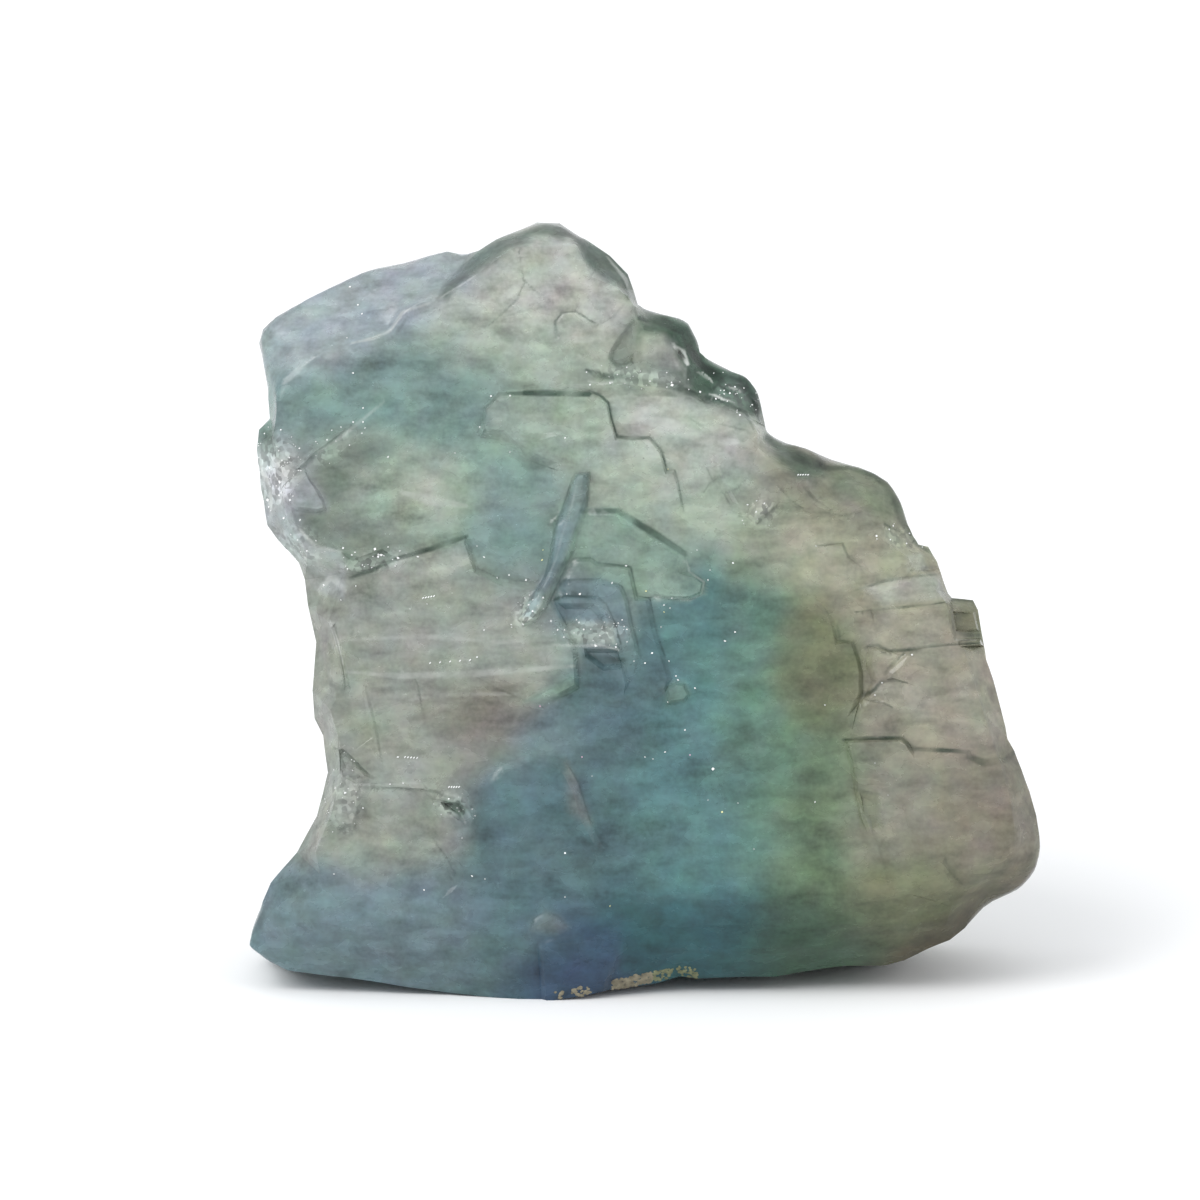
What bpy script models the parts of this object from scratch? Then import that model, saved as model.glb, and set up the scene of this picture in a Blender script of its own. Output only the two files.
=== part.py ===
"""A barite crystal: one thick tabular plate with stepped growth terraces, standing on its broken base.

The crystal is drawn in its own picture plane. u runs to the right, v runs up and w runs out of the broad
front face. Outlines are written in PIXELS, with y downwards, and PIXEL gives their real size. The finished
crystal leans back by LEAN, stands on a base cut flat at z = 0, and has its origin under the middle of its box.
"""

import math

import bmesh
import bpy
import numpy as np
from mathutils import Matrix, Vector, noise
from mathutils.geometry import delaunay_2d_cdt

# Driving sizes, in metres.
WIDTH = 0.0517
BODY_DEPTH = 0.0135
LEAN = math.radians(12)
BARITE_IOR = 1.636
BARITE_COLOUR = (0.30, 0.40, 0.38, 1)

# Size of a pixel, from the width of the outline below.
OUTLINE_PIXELS_WIDE = 795
PIXEL = WIDTH / OUTLINE_PIXELS_WIDE
GROUND_PIXEL_Y = 1004.5
MIDDLE = np.array((607.0, 654.0))

# Points of the drawing that lie nearer together than this are one point, in pixels.
SAME_POINT = 0.35

# Widths of the slopes at the edge of a terrace, in pixels. A slope wider than this has no crease of its own.
CREASED_SLOPE = 25
SLOW = 60

# The edge of the whole crystal, clockwise from its upper left corner.
OUTLINE = [
    (258, 342), (262, 328), (270, 320), (300, 304), (340, 283), (370, 268), (388, 264), (403, 266),
    (420, 256), (447, 249), (463, 255), (480, 252), (497, 241), (520, 230), (537, 222), (560, 223),
    (573, 232), (590, 243), (610, 257), (628, 275), (634, 291), (638, 305), (646, 311), (680, 317),
    (689, 322), (699, 342), (700, 353), (712, 363), (735, 370), (754, 380), (761, 402), (767, 432),
    (785, 443), (800, 443), (820, 452), (827, 461), (840, 462), (860, 466), (875, 472), (890, 481),
    (901, 500), (907, 525), (917, 545), (927, 547), (936, 562), (947, 593), (951, 598), (972, 600),
    (977, 610), (985, 660), (992, 680), (1004, 725), (1006, 738), (1013, 750), (1028, 790), (1035, 815),
    (1040, 848), (1037, 870), (1025, 885), (1010, 895), (990, 902), (965, 928), (950, 940), (930, 948),
    (905, 960), (885, 965), (845, 966), (800, 972), (775, 976), (700, 978), (680, 976), (655, 983),
    (615, 987), (590, 993), (553, 999), (520, 999), (450, 992), (400, 985), (350, 977), (290, 970),
    (262, 960), (245, 946), (250, 932), (260, 908), (272, 882), (298, 852), (318, 815), (329, 772),
    (325, 735), (316, 718), (314, 690), (318, 642), (309, 605), (306, 580), (300, 563), (280, 540),
    (269, 525), (263, 490), (258, 450), (260, 430), (271, 419), (269, 388), (262, 360),
]

# Inner edge of the slopes that run round the rim: the broad face lies inside it.
FACE = [
    (279, 412), (280, 386), (300, 368), (330, 352), (360, 344), (390, 332), (412, 305), (440, 301),
    (480, 275), (515, 250), (540, 247), (576, 250), (584, 264), (592, 279), (612, 288), (628, 299),
    (634, 308), (637, 322), (642, 334), (656, 338), (669, 337), (677, 347), (684, 362), (686, 378),
    (684, 390), (692, 402), (702, 409), (714, 412), (722, 404), (740, 415), (752, 424), (757, 434),
    (756, 446), (768, 457), (780, 463), (789, 471), (803, 474), (808, 490), (816, 500), (832, 511),
    (862, 516), (880, 520), (884, 538), (894, 549), (906, 557), (915, 574), (934, 590), (944, 603),
    (951, 640), (962, 650), (974, 690), (988, 735), (998, 765), (1008, 800), (1012, 830), (1004, 855),
    (985, 868), (950, 874), (900, 884), (850, 892), (780, 896), (700, 892), (640, 896), (570, 902),
    (500, 894), (430, 888), (370, 880), (322, 872), (318, 850), (332, 815), (344, 780), (342, 740),
    (333, 710), (346, 680), (340, 650), (331, 622), (338, 596), (345, 574), (340, 549), (310, 553),
    (303, 540), (297, 523), (292, 500), (284, 470), (276, 440),
]

# How far the surface has dropped where the rim's slopes reach the outline: x, y, drop in metres.
RIM_DROPS = [
    (262, 340, 0.0020), (370, 268, 0.0022), (447, 249, 0.0020), (500, 240, 0.0018), (548, 222, 0.0016),
    (620, 265, 0.0022), (680, 317, 0.0022), (735, 370, 0.0026), (800, 443, 0.0024), (870, 470, 0.0024),
    (930, 555, 0.0018), (970, 600, 0.0020), (1000, 715, 0.0018), (1040, 850, 0.0026), (950, 940, 0.0038),
    (850, 966, 0.0040), (700, 978, 0.0034), (550, 999, 0.0021), (420, 987, 0.0030), (290, 970, 0.0034),
    (247, 945, 0.0030), (300, 850, 0.0024), (326, 755, 0.0022), (314, 690, 0.0020), (300, 563, 0.0020),
    (260, 460, 0.0022),
]
RIM_SOFTENING = 5

# The slopes are flat facets above the first of these heights. Below it they grow round, where the crystal
# curves back to its base, and from the second one down they are fully round.
ROUND_BELOW = (860, 900)

# Terraces of the front. Each has its rise in metres and its outline as x, y and the width of the slope on
# the edge that starts there. A negative rise is a hollow. A SLOW edge lets a terrace die out like a shingle.
TERRACES = {
    "upper left facet": (-0.0006, [
        (481, 250, 4), (441, 296, 4), (426, 302, 4), (412, 306, 5), (392, 332, 5), (376, 341, 4),
        (360, 345, SLOW), (300, 385, SLOW), (240, 400, 5), (235, 300, 5), (380, 235, 5), (460, 225, 5),
    ]),
    "upper left plate": (0.0003, [
        (281, 386, 40), (300, 368, SLOW), (360, 345, SLOW), (374, 380, 40), (365, 420, 5), (345, 437, 3),
        (330, 447, 3), (318, 456, 3), (308, 467, 3), (298, 471, 8), (276, 456, 8), (272, 420, 20),
    ]),
    "broken flake": (0.00035, [
        (284, 488, 3), (291, 480, 3), (307, 469, 2), (313, 481, 2), (321, 491, 3), (327, 502, 3),
        (329, 511, 4), (318, 514, 5), (300, 512, 4), (287, 501, 3),
    ]),
    "round hollow": (-0.0003, [
        (637, 319, 4), (630, 328, 5), (619, 338, 5), (610, 352, 5), (608, 361, 4), (614, 368, 4),
        (624, 369, 4), (633, 364, 4), (636, 352, 4), (634, 341, 4), (638, 332, 4),
    ]),
    "upper right plate": (0.0004, [
        (548, 386, 12), (606, 385, 12), (640, 386, 12), (688, 387, 12), (775, 432, SLOW), (782, 482, 4),
        (779, 503, 4), (768, 515, 6), (754, 527, 8), (735, 524, SLOW), (700, 540, SLOW), (640, 530, SLOW),
        (548, 510, SLOW),
    ]),
    "fan plate": (0.00018, [
        (688, 444, 20), (706, 457, 4), (712, 461, 3), (718, 465, 3), (728, 487, 4), (739, 506, 8),
        (722, 522, 30), (694, 515, 30), (686, 500, 12), (680, 470, 12),
    ]),
    "scaly patch": (0.00016, [
        (744, 516, 4), (752, 503, 4), (766, 498, 4), (778, 505, 3), (768, 516, 4), (757, 526, 5),
    ]),
    "green shelf": (-0.00014, [
        (785, 499, 3), (797, 506, 3), (810, 510, 20), (802, 534, 40), (774, 540, 40), (768, 518, 10),
    ]),
    "top centre plate": (0.00055, [
        (485, 407, 5), (500, 391, 8), (528, 390, 9), (596, 390, 8), (602, 397, 5), (609, 402, 3),
        (612, 420, 3), (617, 437, 5), (648, 436, 4), (655, 442, 4), (661, 450, 3), (667, 471, 4),
        (675, 470, 3), (679, 485, 3), (685, 512, SLOW), (650, 545, SLOW), (600, 548, SLOW), (575, 562, SLOW),
        (560, 540, SLOW), (553, 500, 20), (553, 485, 7), (552, 470, 8), (530, 462, 10), (508, 449, 10),
        (500, 441, 10), (475, 438, 6), (480, 428, 4), (483, 418, 4),
    ]),
    "arched plate": (0.00015, [
        (506, 445, 6), (545, 434, 4), (562, 432, 4), (575, 441, 8), (582, 470, 30), (560, 472, 30),
        (530, 460, 20),
    ]),
    "nest plate 1": (0.0005, [
        (578, 517, 5), (587, 508, 8), (618, 508, 8), (626, 512, 9), (684, 551, 9), (687, 572, 4),
        (697, 575, 4), (705, 582, 4), (703, 594, 4), (690, 600, 4), (670, 600, 4), (655, 597, 4),
        (638, 598, SLOW), (622, 645, SLOW), (580, 620, SLOW), (558, 585, SLOW), (570, 545, 20),
    ]),
    "nest plate 2": (0.00032, [
        (566, 563, 4), (575, 558, 4), (591, 558, 4), (597, 562, 4), (618, 564, 4), (631, 567, 4),
        (638, 597, 4), (650, 597, 5), (657, 632, 5), (665, 655, 5), (672, 678, 6), (665, 692, 10),
        (658, 712, 40), (600, 705, SLOW), (560, 655, SLOW), (554, 600, 20),
    ]),
    "nest plate 3": (0.00032, [
        (552, 594, 4), (561, 582, 5), (568, 578, 6), (600, 578, 5), (604, 582, 4), (622, 585, 4),
        (628, 600, 4), (633, 624, 4), (641, 656, 5), (634, 674, 12), (624, 694, 50), (582, 684, 50),
        (554, 640, 20),
    ]),
    "nest plate 4": (0.00032, [
        (550, 602, 4), (560, 595, 4), (598, 596, 5), (606, 603, 5), (614, 620, 5), (622, 645, 5),
        (633, 694, 10), (626, 718, 40), (590, 704, 40), (577, 652, 6), (556, 646, 20),
    ]),
    "nest floor": (-0.00035, [
        (558, 603, 6), (594, 603, 6), (604, 614, 6), (610, 633, 6), (578, 636, 8), (558, 625, 8),
    ]),
    "ledge below the nest": (-0.0004, [
        (579, 648, 4), (621, 649, 5), (627, 668, 6), (603, 670, 6), (586, 657, 4),
    ]),
    "small facet": (0.0003, [
        (664, 688, 4), (674, 681, 3), (685, 683, 3), (690, 694, 3), (684, 702, 4), (668, 704, 4),
    ]),
    "lath crystal": (0.00085, [
        (576, 474, 3), (590, 472, 4), (591, 482, 8), (588, 508, 8), (580, 530, 7), (573, 556, 7),
        (562, 578, 7), (554, 594, 6), (545, 612, 6), (537, 622, 5), (524, 627, 5), (519, 620, 4),
        (524, 606, 4), (536, 592, 4), (546, 575, 4), (550, 558, 4), (553, 535, 4), (560, 515, 4),
        (567, 495, 4), (571, 480, 4),
    ]),
    "grain by the lath": (0.0004, [
        (551, 534, 3), (553, 522, 3), (561, 516, 3), (562, 526, 3), (556, 535, 3),
    ]),
    "left centre plate": (0.00045, [
        (345, 575, 10), (365, 570, 8), (395, 560, 7), (430, 548, 7), (455, 538, 7), (467, 535, 4),
        (471, 546, 4), (478, 568, 6), (500, 578, 8), (540, 584, 6), (554, 600, 6), (578, 650, 5),
        (580, 688, 6), (545, 706, 7), (500, 740, 7), (478, 785, 6), (471, 850, 8), (464, 880, 20),
        (440, 892, SLOW), (380, 862, SLOW), (344, 800, SLOW), (338, 700, 30), (330, 640, 20),
    ]),
    "rough patch": (-0.0003, [
        (343, 552, 5), (362, 557, 5), (384, 549, 4), (394, 556, 5), (388, 570, 8), (366, 575, 8),
        (348, 570, 6),
    ]),
    "side strip": (-0.0003, [
        (331, 624, 5), (338, 622, 4), (347, 655, 4), (353, 690, 4), (346, 690, 5), (339, 655, 5),
    ]),
    "long crack shelf": (-0.00014, [
        (346, 695, 20), (366, 686, 4), (370, 702, 3), (378, 736, 4), (382, 762, 20), (356, 750, 20),
    ]),
    "left shelf": (-0.0004, [
        (333, 750, 5), (345, 747, 4), (358, 760, 4), (374, 777, 5), (362, 783, 8), (342, 772, 8),
    ]),
    "left lobe": (0.0003, [
        (333, 776, 8), (350, 770, 6), (362, 782, 5), (364, 808, 5), (358, 826, 5), (340, 829, 6),
        (329, 815, 8),
    ]),
    "lower left drop": (-0.0002, [
        (374, 780, 4), (385, 786, 3), (425, 787, 3), (435, 796, 4), (465, 800, 4), (472, 815, 5),
        (470, 850, 12), (440, 880, 40), (380, 872, 40), (366, 830, 20),
    ]),
    "pit": (-0.0006, [
        (441, 799, 3), (461, 800, 3), (468, 808, 4), (471, 822, 5), (460, 819, 5), (448, 810, 3),
    ]),
    "pit rim": (0.0003, [
        (470, 806, 3), (478, 812, 3), (477, 827, 3), (471, 832, 3), (470, 822, 3),
    ]),
    "curved shelf": (-0.00016, [
        (443, 843, 4), (451, 861, 4), (459, 883, 4), (444, 902, 30), (416, 884, 30), (424, 852, 20),
    ]),
    "blue plate": (0.0004, [
        (482, 790, 8), (500, 766, 8), (530, 752, 8), (560, 756, 9), (571, 768, 9), (579, 783, 8),
        (591, 822, 7), (605, 847, 8), (592, 864, 40), (540, 876, 40), (500, 872, 40), (478, 850, 20),
    ]),
    "lens facet": (0.00025, [
        (531, 931, 3), (534, 918, 4), (545, 911, 4), (557, 915, 4), (568, 927, 4), (556, 933, 4),
        (540, 935, 3),
    ]),
    "navy block": (0.00035, [
        (537, 938, 5), (575, 932, 8), (600, 922, 8), (622, 925, 5), (622, 952, 5), (612, 976, 6),
        (604, 1020, 20), (544, 1020, 5),
    ]),
    "olive lobe": (0.00035, [
        (792, 603, 10), (803, 596, 6), (815, 598, 5), (822, 606, 4), (833, 620, 4), (837, 640, 4),
        (852, 639, 4), (858, 656, 4), (862, 675, 5), (862, 693, 5), (855, 708, 8), (838, 724, 14),
        (808, 742, SLOW), (764, 705, SLOW), (760, 640, SLOW),
    ]),
    "green corner plate": (0.00025, [
        (816, 546, 3), (843, 543, 4), (848, 557, 4), (857, 564, 5), (864, 574, 20), (860, 602, 40),
        (830, 602, 40), (818, 580, 20),
    ]),
    "quad block": (0.0002, [
        (905, 556, 3), (920, 554, 4), (938, 552, 10), (950, 569, 4), (908, 571, 3),
    ]),
    "pale band plate": (0.00026, [
        (846, 593, 5), (864, 587, 5), (887, 579, 5), (906, 577, 4), (908, 571, 4), (980, 566, 20),
        (985, 620, 50), (900, 640, 50), (852, 626, 20),
    ]),
    "long line plate": (0.00018, [
        (852, 612, 4), (883, 609, 3), (925, 605, 3), (945, 602, 3), (949, 615, 3), (953, 641, 4),
        (948, 650, 20), (900, 655, 30), (868, 645, 30), (852, 632, 20),
    ]),
    "right plate": (0.00045, [
        (866, 646, 4), (878, 646, 4), (890, 650, 5), (905, 649, 6), (925, 647, 9), (945, 645, 10),
        (1030, 640, 10), (1070, 700, 20), (1070, 800, SLOW), (900, 800, SLOW), (850, 735, 20), (846, 716, 8),
        (862, 697, 5), (870, 681, 6), (864, 665, 6),
    ]),
    "chipped plate": (0.00016, [
        (906, 655, 4), (887, 671, 4), (884, 679, 4), (914, 685, 30), (934, 672, 30), (926, 655, 10),
    ]),
    "chipped step": (0.0002, [
        (874, 693, 4), (880, 682, 4), (905, 682, 4), (916, 686, 30), (918, 704, 40), (894, 707, 4),
        (882, 700, 4),
    ]),
    "low step": (0.00016, [
        (858, 701, 4), (882, 699, 4), (897, 706, 10), (898, 732, 30), (850, 732, 20),
    ]),
    "lower right plate": (0.0005, [
        (843, 738, 4), (900, 736, 4), (908, 742, 5), (912, 748, 9), (966, 748, 6), (971, 758, 11),
        (1070, 757, 11), (1070, 900, SLOW), (950, 905, SLOW), (884, 882, SLOW), (866, 836, 5),
        (858, 815, 5), (852, 785, 5), (846, 755, 4),
    ]),
    "right pit": (-0.00025, [
        (855, 791, 6), (868, 789, 8), (877, 796, 8), (881, 804, 7), (881, 831, 12), (867, 833, 8),
        (860, 815, 4),
    ]),
    "short line plate": (0.00012, [
        (880, 801, 3), (903, 802, 4), (912, 832, 30), (888, 852, 30),
    ]),
    "foot shelf": (0.0002, [
        (912, 858, 4), (943, 855, 4), (948, 873, 4), (968, 881, 20), (952, 902, 30), (908, 892, 30),
    ]),
}

# Small ledges that face straight out of slopes: level in metres from the broad face, outline as above.
LEDGES = {
    "cap": (-0.0010, [(522, 240, 2), (532, 234, 2), (545, 235, 2), (546, 240, 3)]),
    "lobe chip 1": (-0.0012, [(646, 325, 2), (649, 321, 2), (660, 322, 2), (655, 327, 2)]),
    "lobe chip 2": (-0.0011, [(672, 346, 2), (679, 349, 2), (688, 362, 2), (682, 366, 2)]),
    "lobe chip 3": (-0.0014, [(691, 374, 2), (702, 372, 2), (705, 378, 2), (694, 380, 2)]),
    "lobe chip 4": (-0.0007, [(697, 398, 2), (716, 398, 2), (716, 409, 2), (704, 407, 2)]),
    "lobe chip 5": (-0.0015, [(727, 386, 2), (740, 383, 2), (745, 388, 2), (733, 391, 2)]),
    "lobe chip 6": (-0.0011, [(731, 394, 2), (741, 399, 2), (738, 406, 2), (730, 402, 2)]),
    "lobe chip 7": (-0.0013, [(746, 391, 2), (756, 397, 2), (760, 407, 2), (751, 402, 2)]),
    "lobe chip 8": (-0.0009, [(747, 410, 2), (756, 412, 2), (758, 422, 2), (750, 420, 2)]),
    "lobe chip 9": (-0.0009, [(794, 468, 2), (808, 470, 2), (809, 476, 2), (797, 476, 2)]),
    "broad lobe": (-0.0008, [
        (826, 484, 5), (848, 478, 4), (862, 489, 4), (884, 497, 5), (893, 512, 6), (868, 512, 8),
        (834, 507, 8), (820, 497, 6),
    ]),
    "set back block": (-0.0011, [(951, 611, 2), (974, 611, 3), (979, 631, 2), (954, 631, 2)]),
    "block sill": (-0.0005, [(955, 638, 3), (980, 638, 3), (983, 646, 2), (956, 646, 2)]),
}

# The back, drawn as seen through the crystal from the front. Its terraces rise away from the viewer.
BACK_RIM_INSETS = (12, 34)
BACK_RIM_DROP = 0.0022
BACK_EDGE_SLOPE = 9
BACK_TERRACES = {
    "lower half": (0.0014, [
        (225, 700, 10), (330, 640, 9), (430, 655, 8), (470, 600, 9), (590, 580, 9), (650, 615, 9),
        (760, 600, 8), (800, 650, 9), (900, 660, 9), (1080, 640, 10), (1080, 1030, 10), (225, 1030, 10),
    ]),
    "foot": (0.0013, [
        (225, 850, 9), (380, 810, 10), (520, 770, 9), (560, 730, 9), (680, 750, 9), (720, 800, 8),
        (860, 790, 9), (900, 850, 10), (1080, 870, 10), (1080, 1030, 10), (225, 1030, 10),
    ]),
    "upper plate": (0.0006, [
        (330, 380, 9), (430, 330, 8), (540, 300, 8), (600, 330, 7), (610, 400, 8), (540, 440, SLOW),
        (420, 480, SLOW), (320, 470, 10),
    ]),
    "side plate": (0.0007, [
        (640, 420, 8), (720, 440, 8), (800, 510, 9), (860, 560, 8), (840, 640, SLOW), (700, 600, SLOW),
        (620, 520, 8),
    ]),
    "broken corner": (-0.0012, [
        (820, 690, 14), (900, 700, 12), (960, 760, 14), (970, 840, 16), (880, 860, 14), (800, 780, 12),
    ]),
    "hollow": (-0.0007, [
        (400, 720, 10), (470, 690, 10), (520, 720, 9), (500, 790, 12), (420, 800, 12),
    ]),
}

# Layers of the crystal seen on its edge: depth in metres below the broad face, and how far each stays
# inside the outline, in pixels. Each layer also draws back by whole jogs, more in some places than others.
# Near the ground the layers end together, so that the base is broad.
LAYERS = [(0.0043, 1), (0.0055, 5), (0.0068, 2), (0.0079, 8), (0.0094, 3), (0.0104, 9)]
LEDGE_DEPTH = 0.00025
JOG = 5
JOGS = 4
JOG_TURNS = 2.6
JOG_LAYER_SHIFT = 0.83
JOG_SHARE = 0.1
FREE_OF_GROUND = (965, 880)

# Free points between the creases: how far apart, how clear of a crease, and how far each is shaken.
FREE_SPACING = 27
FREE_CLEARANCE = 8
FREE_SHAKE = 7
ROW_SPACING = FREE_SPACING * math.cos(math.radians(30))

# The gentle waviness of the broad faces.
WAVE_HEIGHT = 0.00022
WAVE_LENGTH = 130.0
FRONT_WAVES = 0.3
BACK_WAVES = 8.7


def clear_scene():
    for thing in list(bpy.data.objects):
        bpy.data.objects.remove(thing, do_unlink=True)


def edges_of(outline):
    """Start and end points of a closed outline's edges."""
    starts = np.array([point[:2] for point in outline], float)
    return starts, np.roll(starts, -1, axis=0)


def edge_distances(points, outline):
    """Distance in pixels from each point to each edge of the outline."""
    starts, ends = edges_of(outline)
    along = ends - starts
    offset = points[:, None, :] - starts[None, :, :]
    share = (offset * along).sum(-1) / (along * along).sum(-1)
    nearest = np.clip(share, 0, 1)[..., None] * along
    return np.linalg.norm(offset - nearest, axis=-1)


def inside(points, outline):
    starts, ends = edges_of(outline)
    x, y = points[:, 0, None], points[:, 1, None]
    crosses = (starts[:, 1] > y) != (ends[:, 1] > y)
    rise = np.where(ends[:, 1] == starts[:, 1], 1, ends[:, 1] - starts[:, 1])
    reach = starts[:, 0] + (y - starts[:, 1]) / rise * (ends[:, 0] - starts[:, 0])
    return (crosses & (x < reach)).sum(1) % 2 == 1


def ramp(points, outline):
    """0 at the terrace's edge and outside it, 1 past the slopes of its edges."""
    slopes = np.array([point[2] for point in outline], float)
    share = (edge_distances(points, outline) / slopes).min(1)
    return np.where(inside(points, outline), np.clip(share, 0, 1), 0)


def blend(points, outer, inner):
    """0 on the outer outline, rising to 1 on the inner one and staying 1 inside it."""
    from_outer = edge_distances(points, outer).min(1)
    from_inner = edge_distances(points, inner).min(1)
    share = from_outer / np.maximum(from_outer + from_inner, 1e-6)
    return np.where(inside(points, inner), 1, share)


def rim_drop(points):
    """The rim's drop at each point, weighted towards the nearest entries of RIM_DROPS."""
    table = np.array(RIM_DROPS)
    gaps = np.linalg.norm(points[:, None, :] - table[None, :, :2], axis=-1)
    weights = 1 / (gaps + RIM_SOFTENING) ** 3
    return (weights * table[:, 2]).sum(1) / weights.sum(1)


def waves(points, seed):
    places = points / WAVE_LENGTH
    return np.array([noise.noise(Vector((x, y, seed))) for x, y in places]) * WAVE_HEIGHT


def front_height(points):
    """Height w of the front at each point, in metres, from the level of the broad face."""
    share = blend(points, OUTLINE, FACE)
    high, low = ROUND_BELOW
    roundness = 1 + np.clip((points[:, 1] - high) / (low - high), 0, 1)
    height = -rim_drop(points) * (1 - share) ** roundness + waves(points, FRONT_WAVES) * share
    for rise, outline in TERRACES.values():
        height += rise * ramp(points, outline)
    for level, outline in LEDGES.values():
        height += (level - height) * ramp(points, outline)
    return height


def back_height(points, rim, face):
    """Height w of the back at each point. Its rim is the last layer's outline, and terraces end at its face."""
    share = blend(points, rim, face)
    reach = ramp(points, face)
    height = BODY_DEPTH - BACK_RIM_DROP * (1 - share) + waves(points, BACK_WAVES) * share
    for rise, outline in BACK_TERRACES.values():
        height += rise * np.minimum(ramp(points, outline), reach)
    return -height


def parts_inside(line, outline):
    """The parts of a line that lie inside the outline."""
    start, end = np.array(line[0], float), np.array(line[1], float)
    along = end - start
    starts, ends = edges_of(outline)
    sides = ends - starts
    cross = along[0] * sides[:, 1] - along[1] * sides[:, 0]
    cross = np.where(np.abs(cross) < 1e-9, np.inf, cross)
    offset = starts - start
    share = (offset[:, 0] * sides[:, 1] - offset[:, 1] * sides[:, 0]) / cross
    across = (offset[:, 0] * along[1] - offset[:, 1] * along[0]) / cross
    hits = share[(share > 0) & (share < 1) & (across >= 0) & (across <= 1)]
    stops = [0.0, *sorted(hits), 1.0]
    middles = np.array([start + along * (a + b) / 2 for a, b in zip(stops, stops[1:])])
    kept = zip(stops, stops[1:], inside(middles, outline))
    return [(start + along * a, start + along * b) for a, b, keep in kept if keep]


def inset_points(outline):
    """The inner end of the slope at each corner, where the two neighbouring slopes end."""
    starts, ends = edges_of(outline)
    along = ends - starts
    along /= np.linalg.norm(along, axis=1)[:, None]
    turned = (starts[:, 0] * ends[:, 1] - ends[:, 0] * starts[:, 1]).sum()
    inward = np.column_stack((-along[:, 1], along[:, 0])) * (1 if turned > 0 else -1)
    slopes = [point[2] for point in outline]
    corners = []
    for i in range(len(outline)):
        before, after = slopes[i - 1], slopes[i]
        if before > CREASED_SLOPE:
            before = min(after, CREASED_SLOPE)
        if after > CREASED_SLOPE:
            after = min(before, CREASED_SLOPE)
        turn = along[i - 1][0] * along[i][1] - along[i - 1][1] * along[i][0]
        shift = inward[i - 1] * before
        if abs(turn) > 0.15:
            gap = inward[i] * after - shift
            reach = (gap[0] * along[i][1] - gap[1] * along[i][0]) / turn
            limit = 3 * max(before, after)
            shift = shift + along[i - 1] * max(-limit, min(limit, reach))
        else:
            shift = (shift + inward[i] * after) / 2
        corners.append(starts[i] + shift)
    return corners


def creases_of(outline):
    """The lines where a terrace's surface bends: its outline, and the inner ends of its narrow slopes."""
    starts, ends = edges_of(outline)
    lines = list(zip(starts, ends))
    corners = inset_points(outline)
    for i, point in enumerate(outline):
        if point[2] <= CREASED_SLOPE:
            lines.append((corners[i], corners[(i + 1) % len(corners)]))
    return lines


def free_points(outline, lines):
    """A staggered field of points, clear of the outline and of every crease."""
    low, high = np.min(outline, axis=0)[:2], np.max(outline, axis=0)[:2]
    rows = np.arange(low[1], high[1], ROW_SPACING)
    field = []
    for number, y in enumerate(rows):
        for x in np.arange(low[0] + (number % 2) * FREE_SPACING / 2, high[0], FREE_SPACING):
            shake = noise.noise_vector(Vector((x, y, 0)) * 0.37) * FREE_SHAKE
            field.append((x + shake.x, y + shake.y))
    field = np.array(field)
    field = field[inside(field, outline)]
    clear = edge_distances(field, outline).min(1) > FREE_CLEARANCE
    starts = np.array([line[0] for line in lines])
    ends = np.array([line[1] for line in lines])
    along = ends - starts
    offset = field[:, None, :] - starts
    share = np.clip((offset * along).sum(-1) / np.maximum((along * along).sum(-1), 1e-9), 0, 1)
    gaps = np.linalg.norm(offset - share[..., None] * along, axis=-1).min(1)
    return field[clear & (gaps > FREE_CLEARANCE)]


def triangulate(outline, lines):
    """Triangles over the outline that keep every crease as an edge: points in pixels, and faces."""
    coords = [Vector(point[:2]) for point in outline]
    count = len(coords)
    links = [(i, (i + 1) % count) for i in range(count)]
    for start, end in lines:
        links.append((len(coords), len(coords) + 1))
        coords += [Vector(start), Vector(end)]
    coords += [Vector(point) for point in free_points(outline, lines)]
    points, _, faces, *_ = delaunay_2d_cdt(coords, links, [], 0, SAME_POINT, False)
    points = np.array([point[:] for point in points])
    faces = np.array([face[:] for face in faces])
    faces = faces[inside(points[faces].mean(1), outline)]
    used, faces = np.unique(faces, return_inverse=True)
    return points[used], faces.reshape(-1, 3)


def border_of(points, faces):
    """The points of the border in order round MIDDLE."""
    ends = np.concatenate([faces[:, [0, 1]], faces[:, [1, 2]], faces[:, [2, 0]]])
    keys, counts = np.unique(np.sort(ends, axis=1), axis=0, return_counts=True)
    border = np.unique(keys[counts == 1])
    rays = points[border] - MIDDLE
    return border[np.argsort(np.arctan2(rays[:, 1], rays[:, 0]))]


def off_ground(points):
    """0 on the ground side of the crystal, 1 on the rest of it."""
    low, high = FREE_OF_GROUND
    return np.clip((low - points[:, 1]) / (low - high), 0, 1)


def drawn_in(border, insets):
    """The border with each point moved towards MIDDLE by its inset."""
    rays = border - MIDDLE
    return MIDDLE + rays * (1 - insets / np.linalg.norm(rays, axis=1))[:, None]


def layer_outline(border, inset, number):
    """The border drawn in by the layer's inset and by its own jogs."""
    insets = []
    for x, y in border - MIDDLE:
        turn = math.atan2(y, x)
        place = Vector((math.cos(turn), math.sin(turn), number * JOG_LAYER_SHIFT)) * JOG_TURNS
        insets.append(inset + JOG * round(JOGS * max(0.0, noise.noise(place) + JOG_SHARE)))
    return drawn_in(border, np.array(insets) * off_ground(border))


def to_metres(points, heights):
    """Picture points and heights as positions in the upright crystal's own axes."""
    u = (points[:, 0] - MIDDLE[0]) * PIXEL
    v = (GROUND_PIXEL_Y - points[:, 1]) * PIXEL
    return [Vector(place) for place in np.column_stack((u, -heights, v))]


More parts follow.
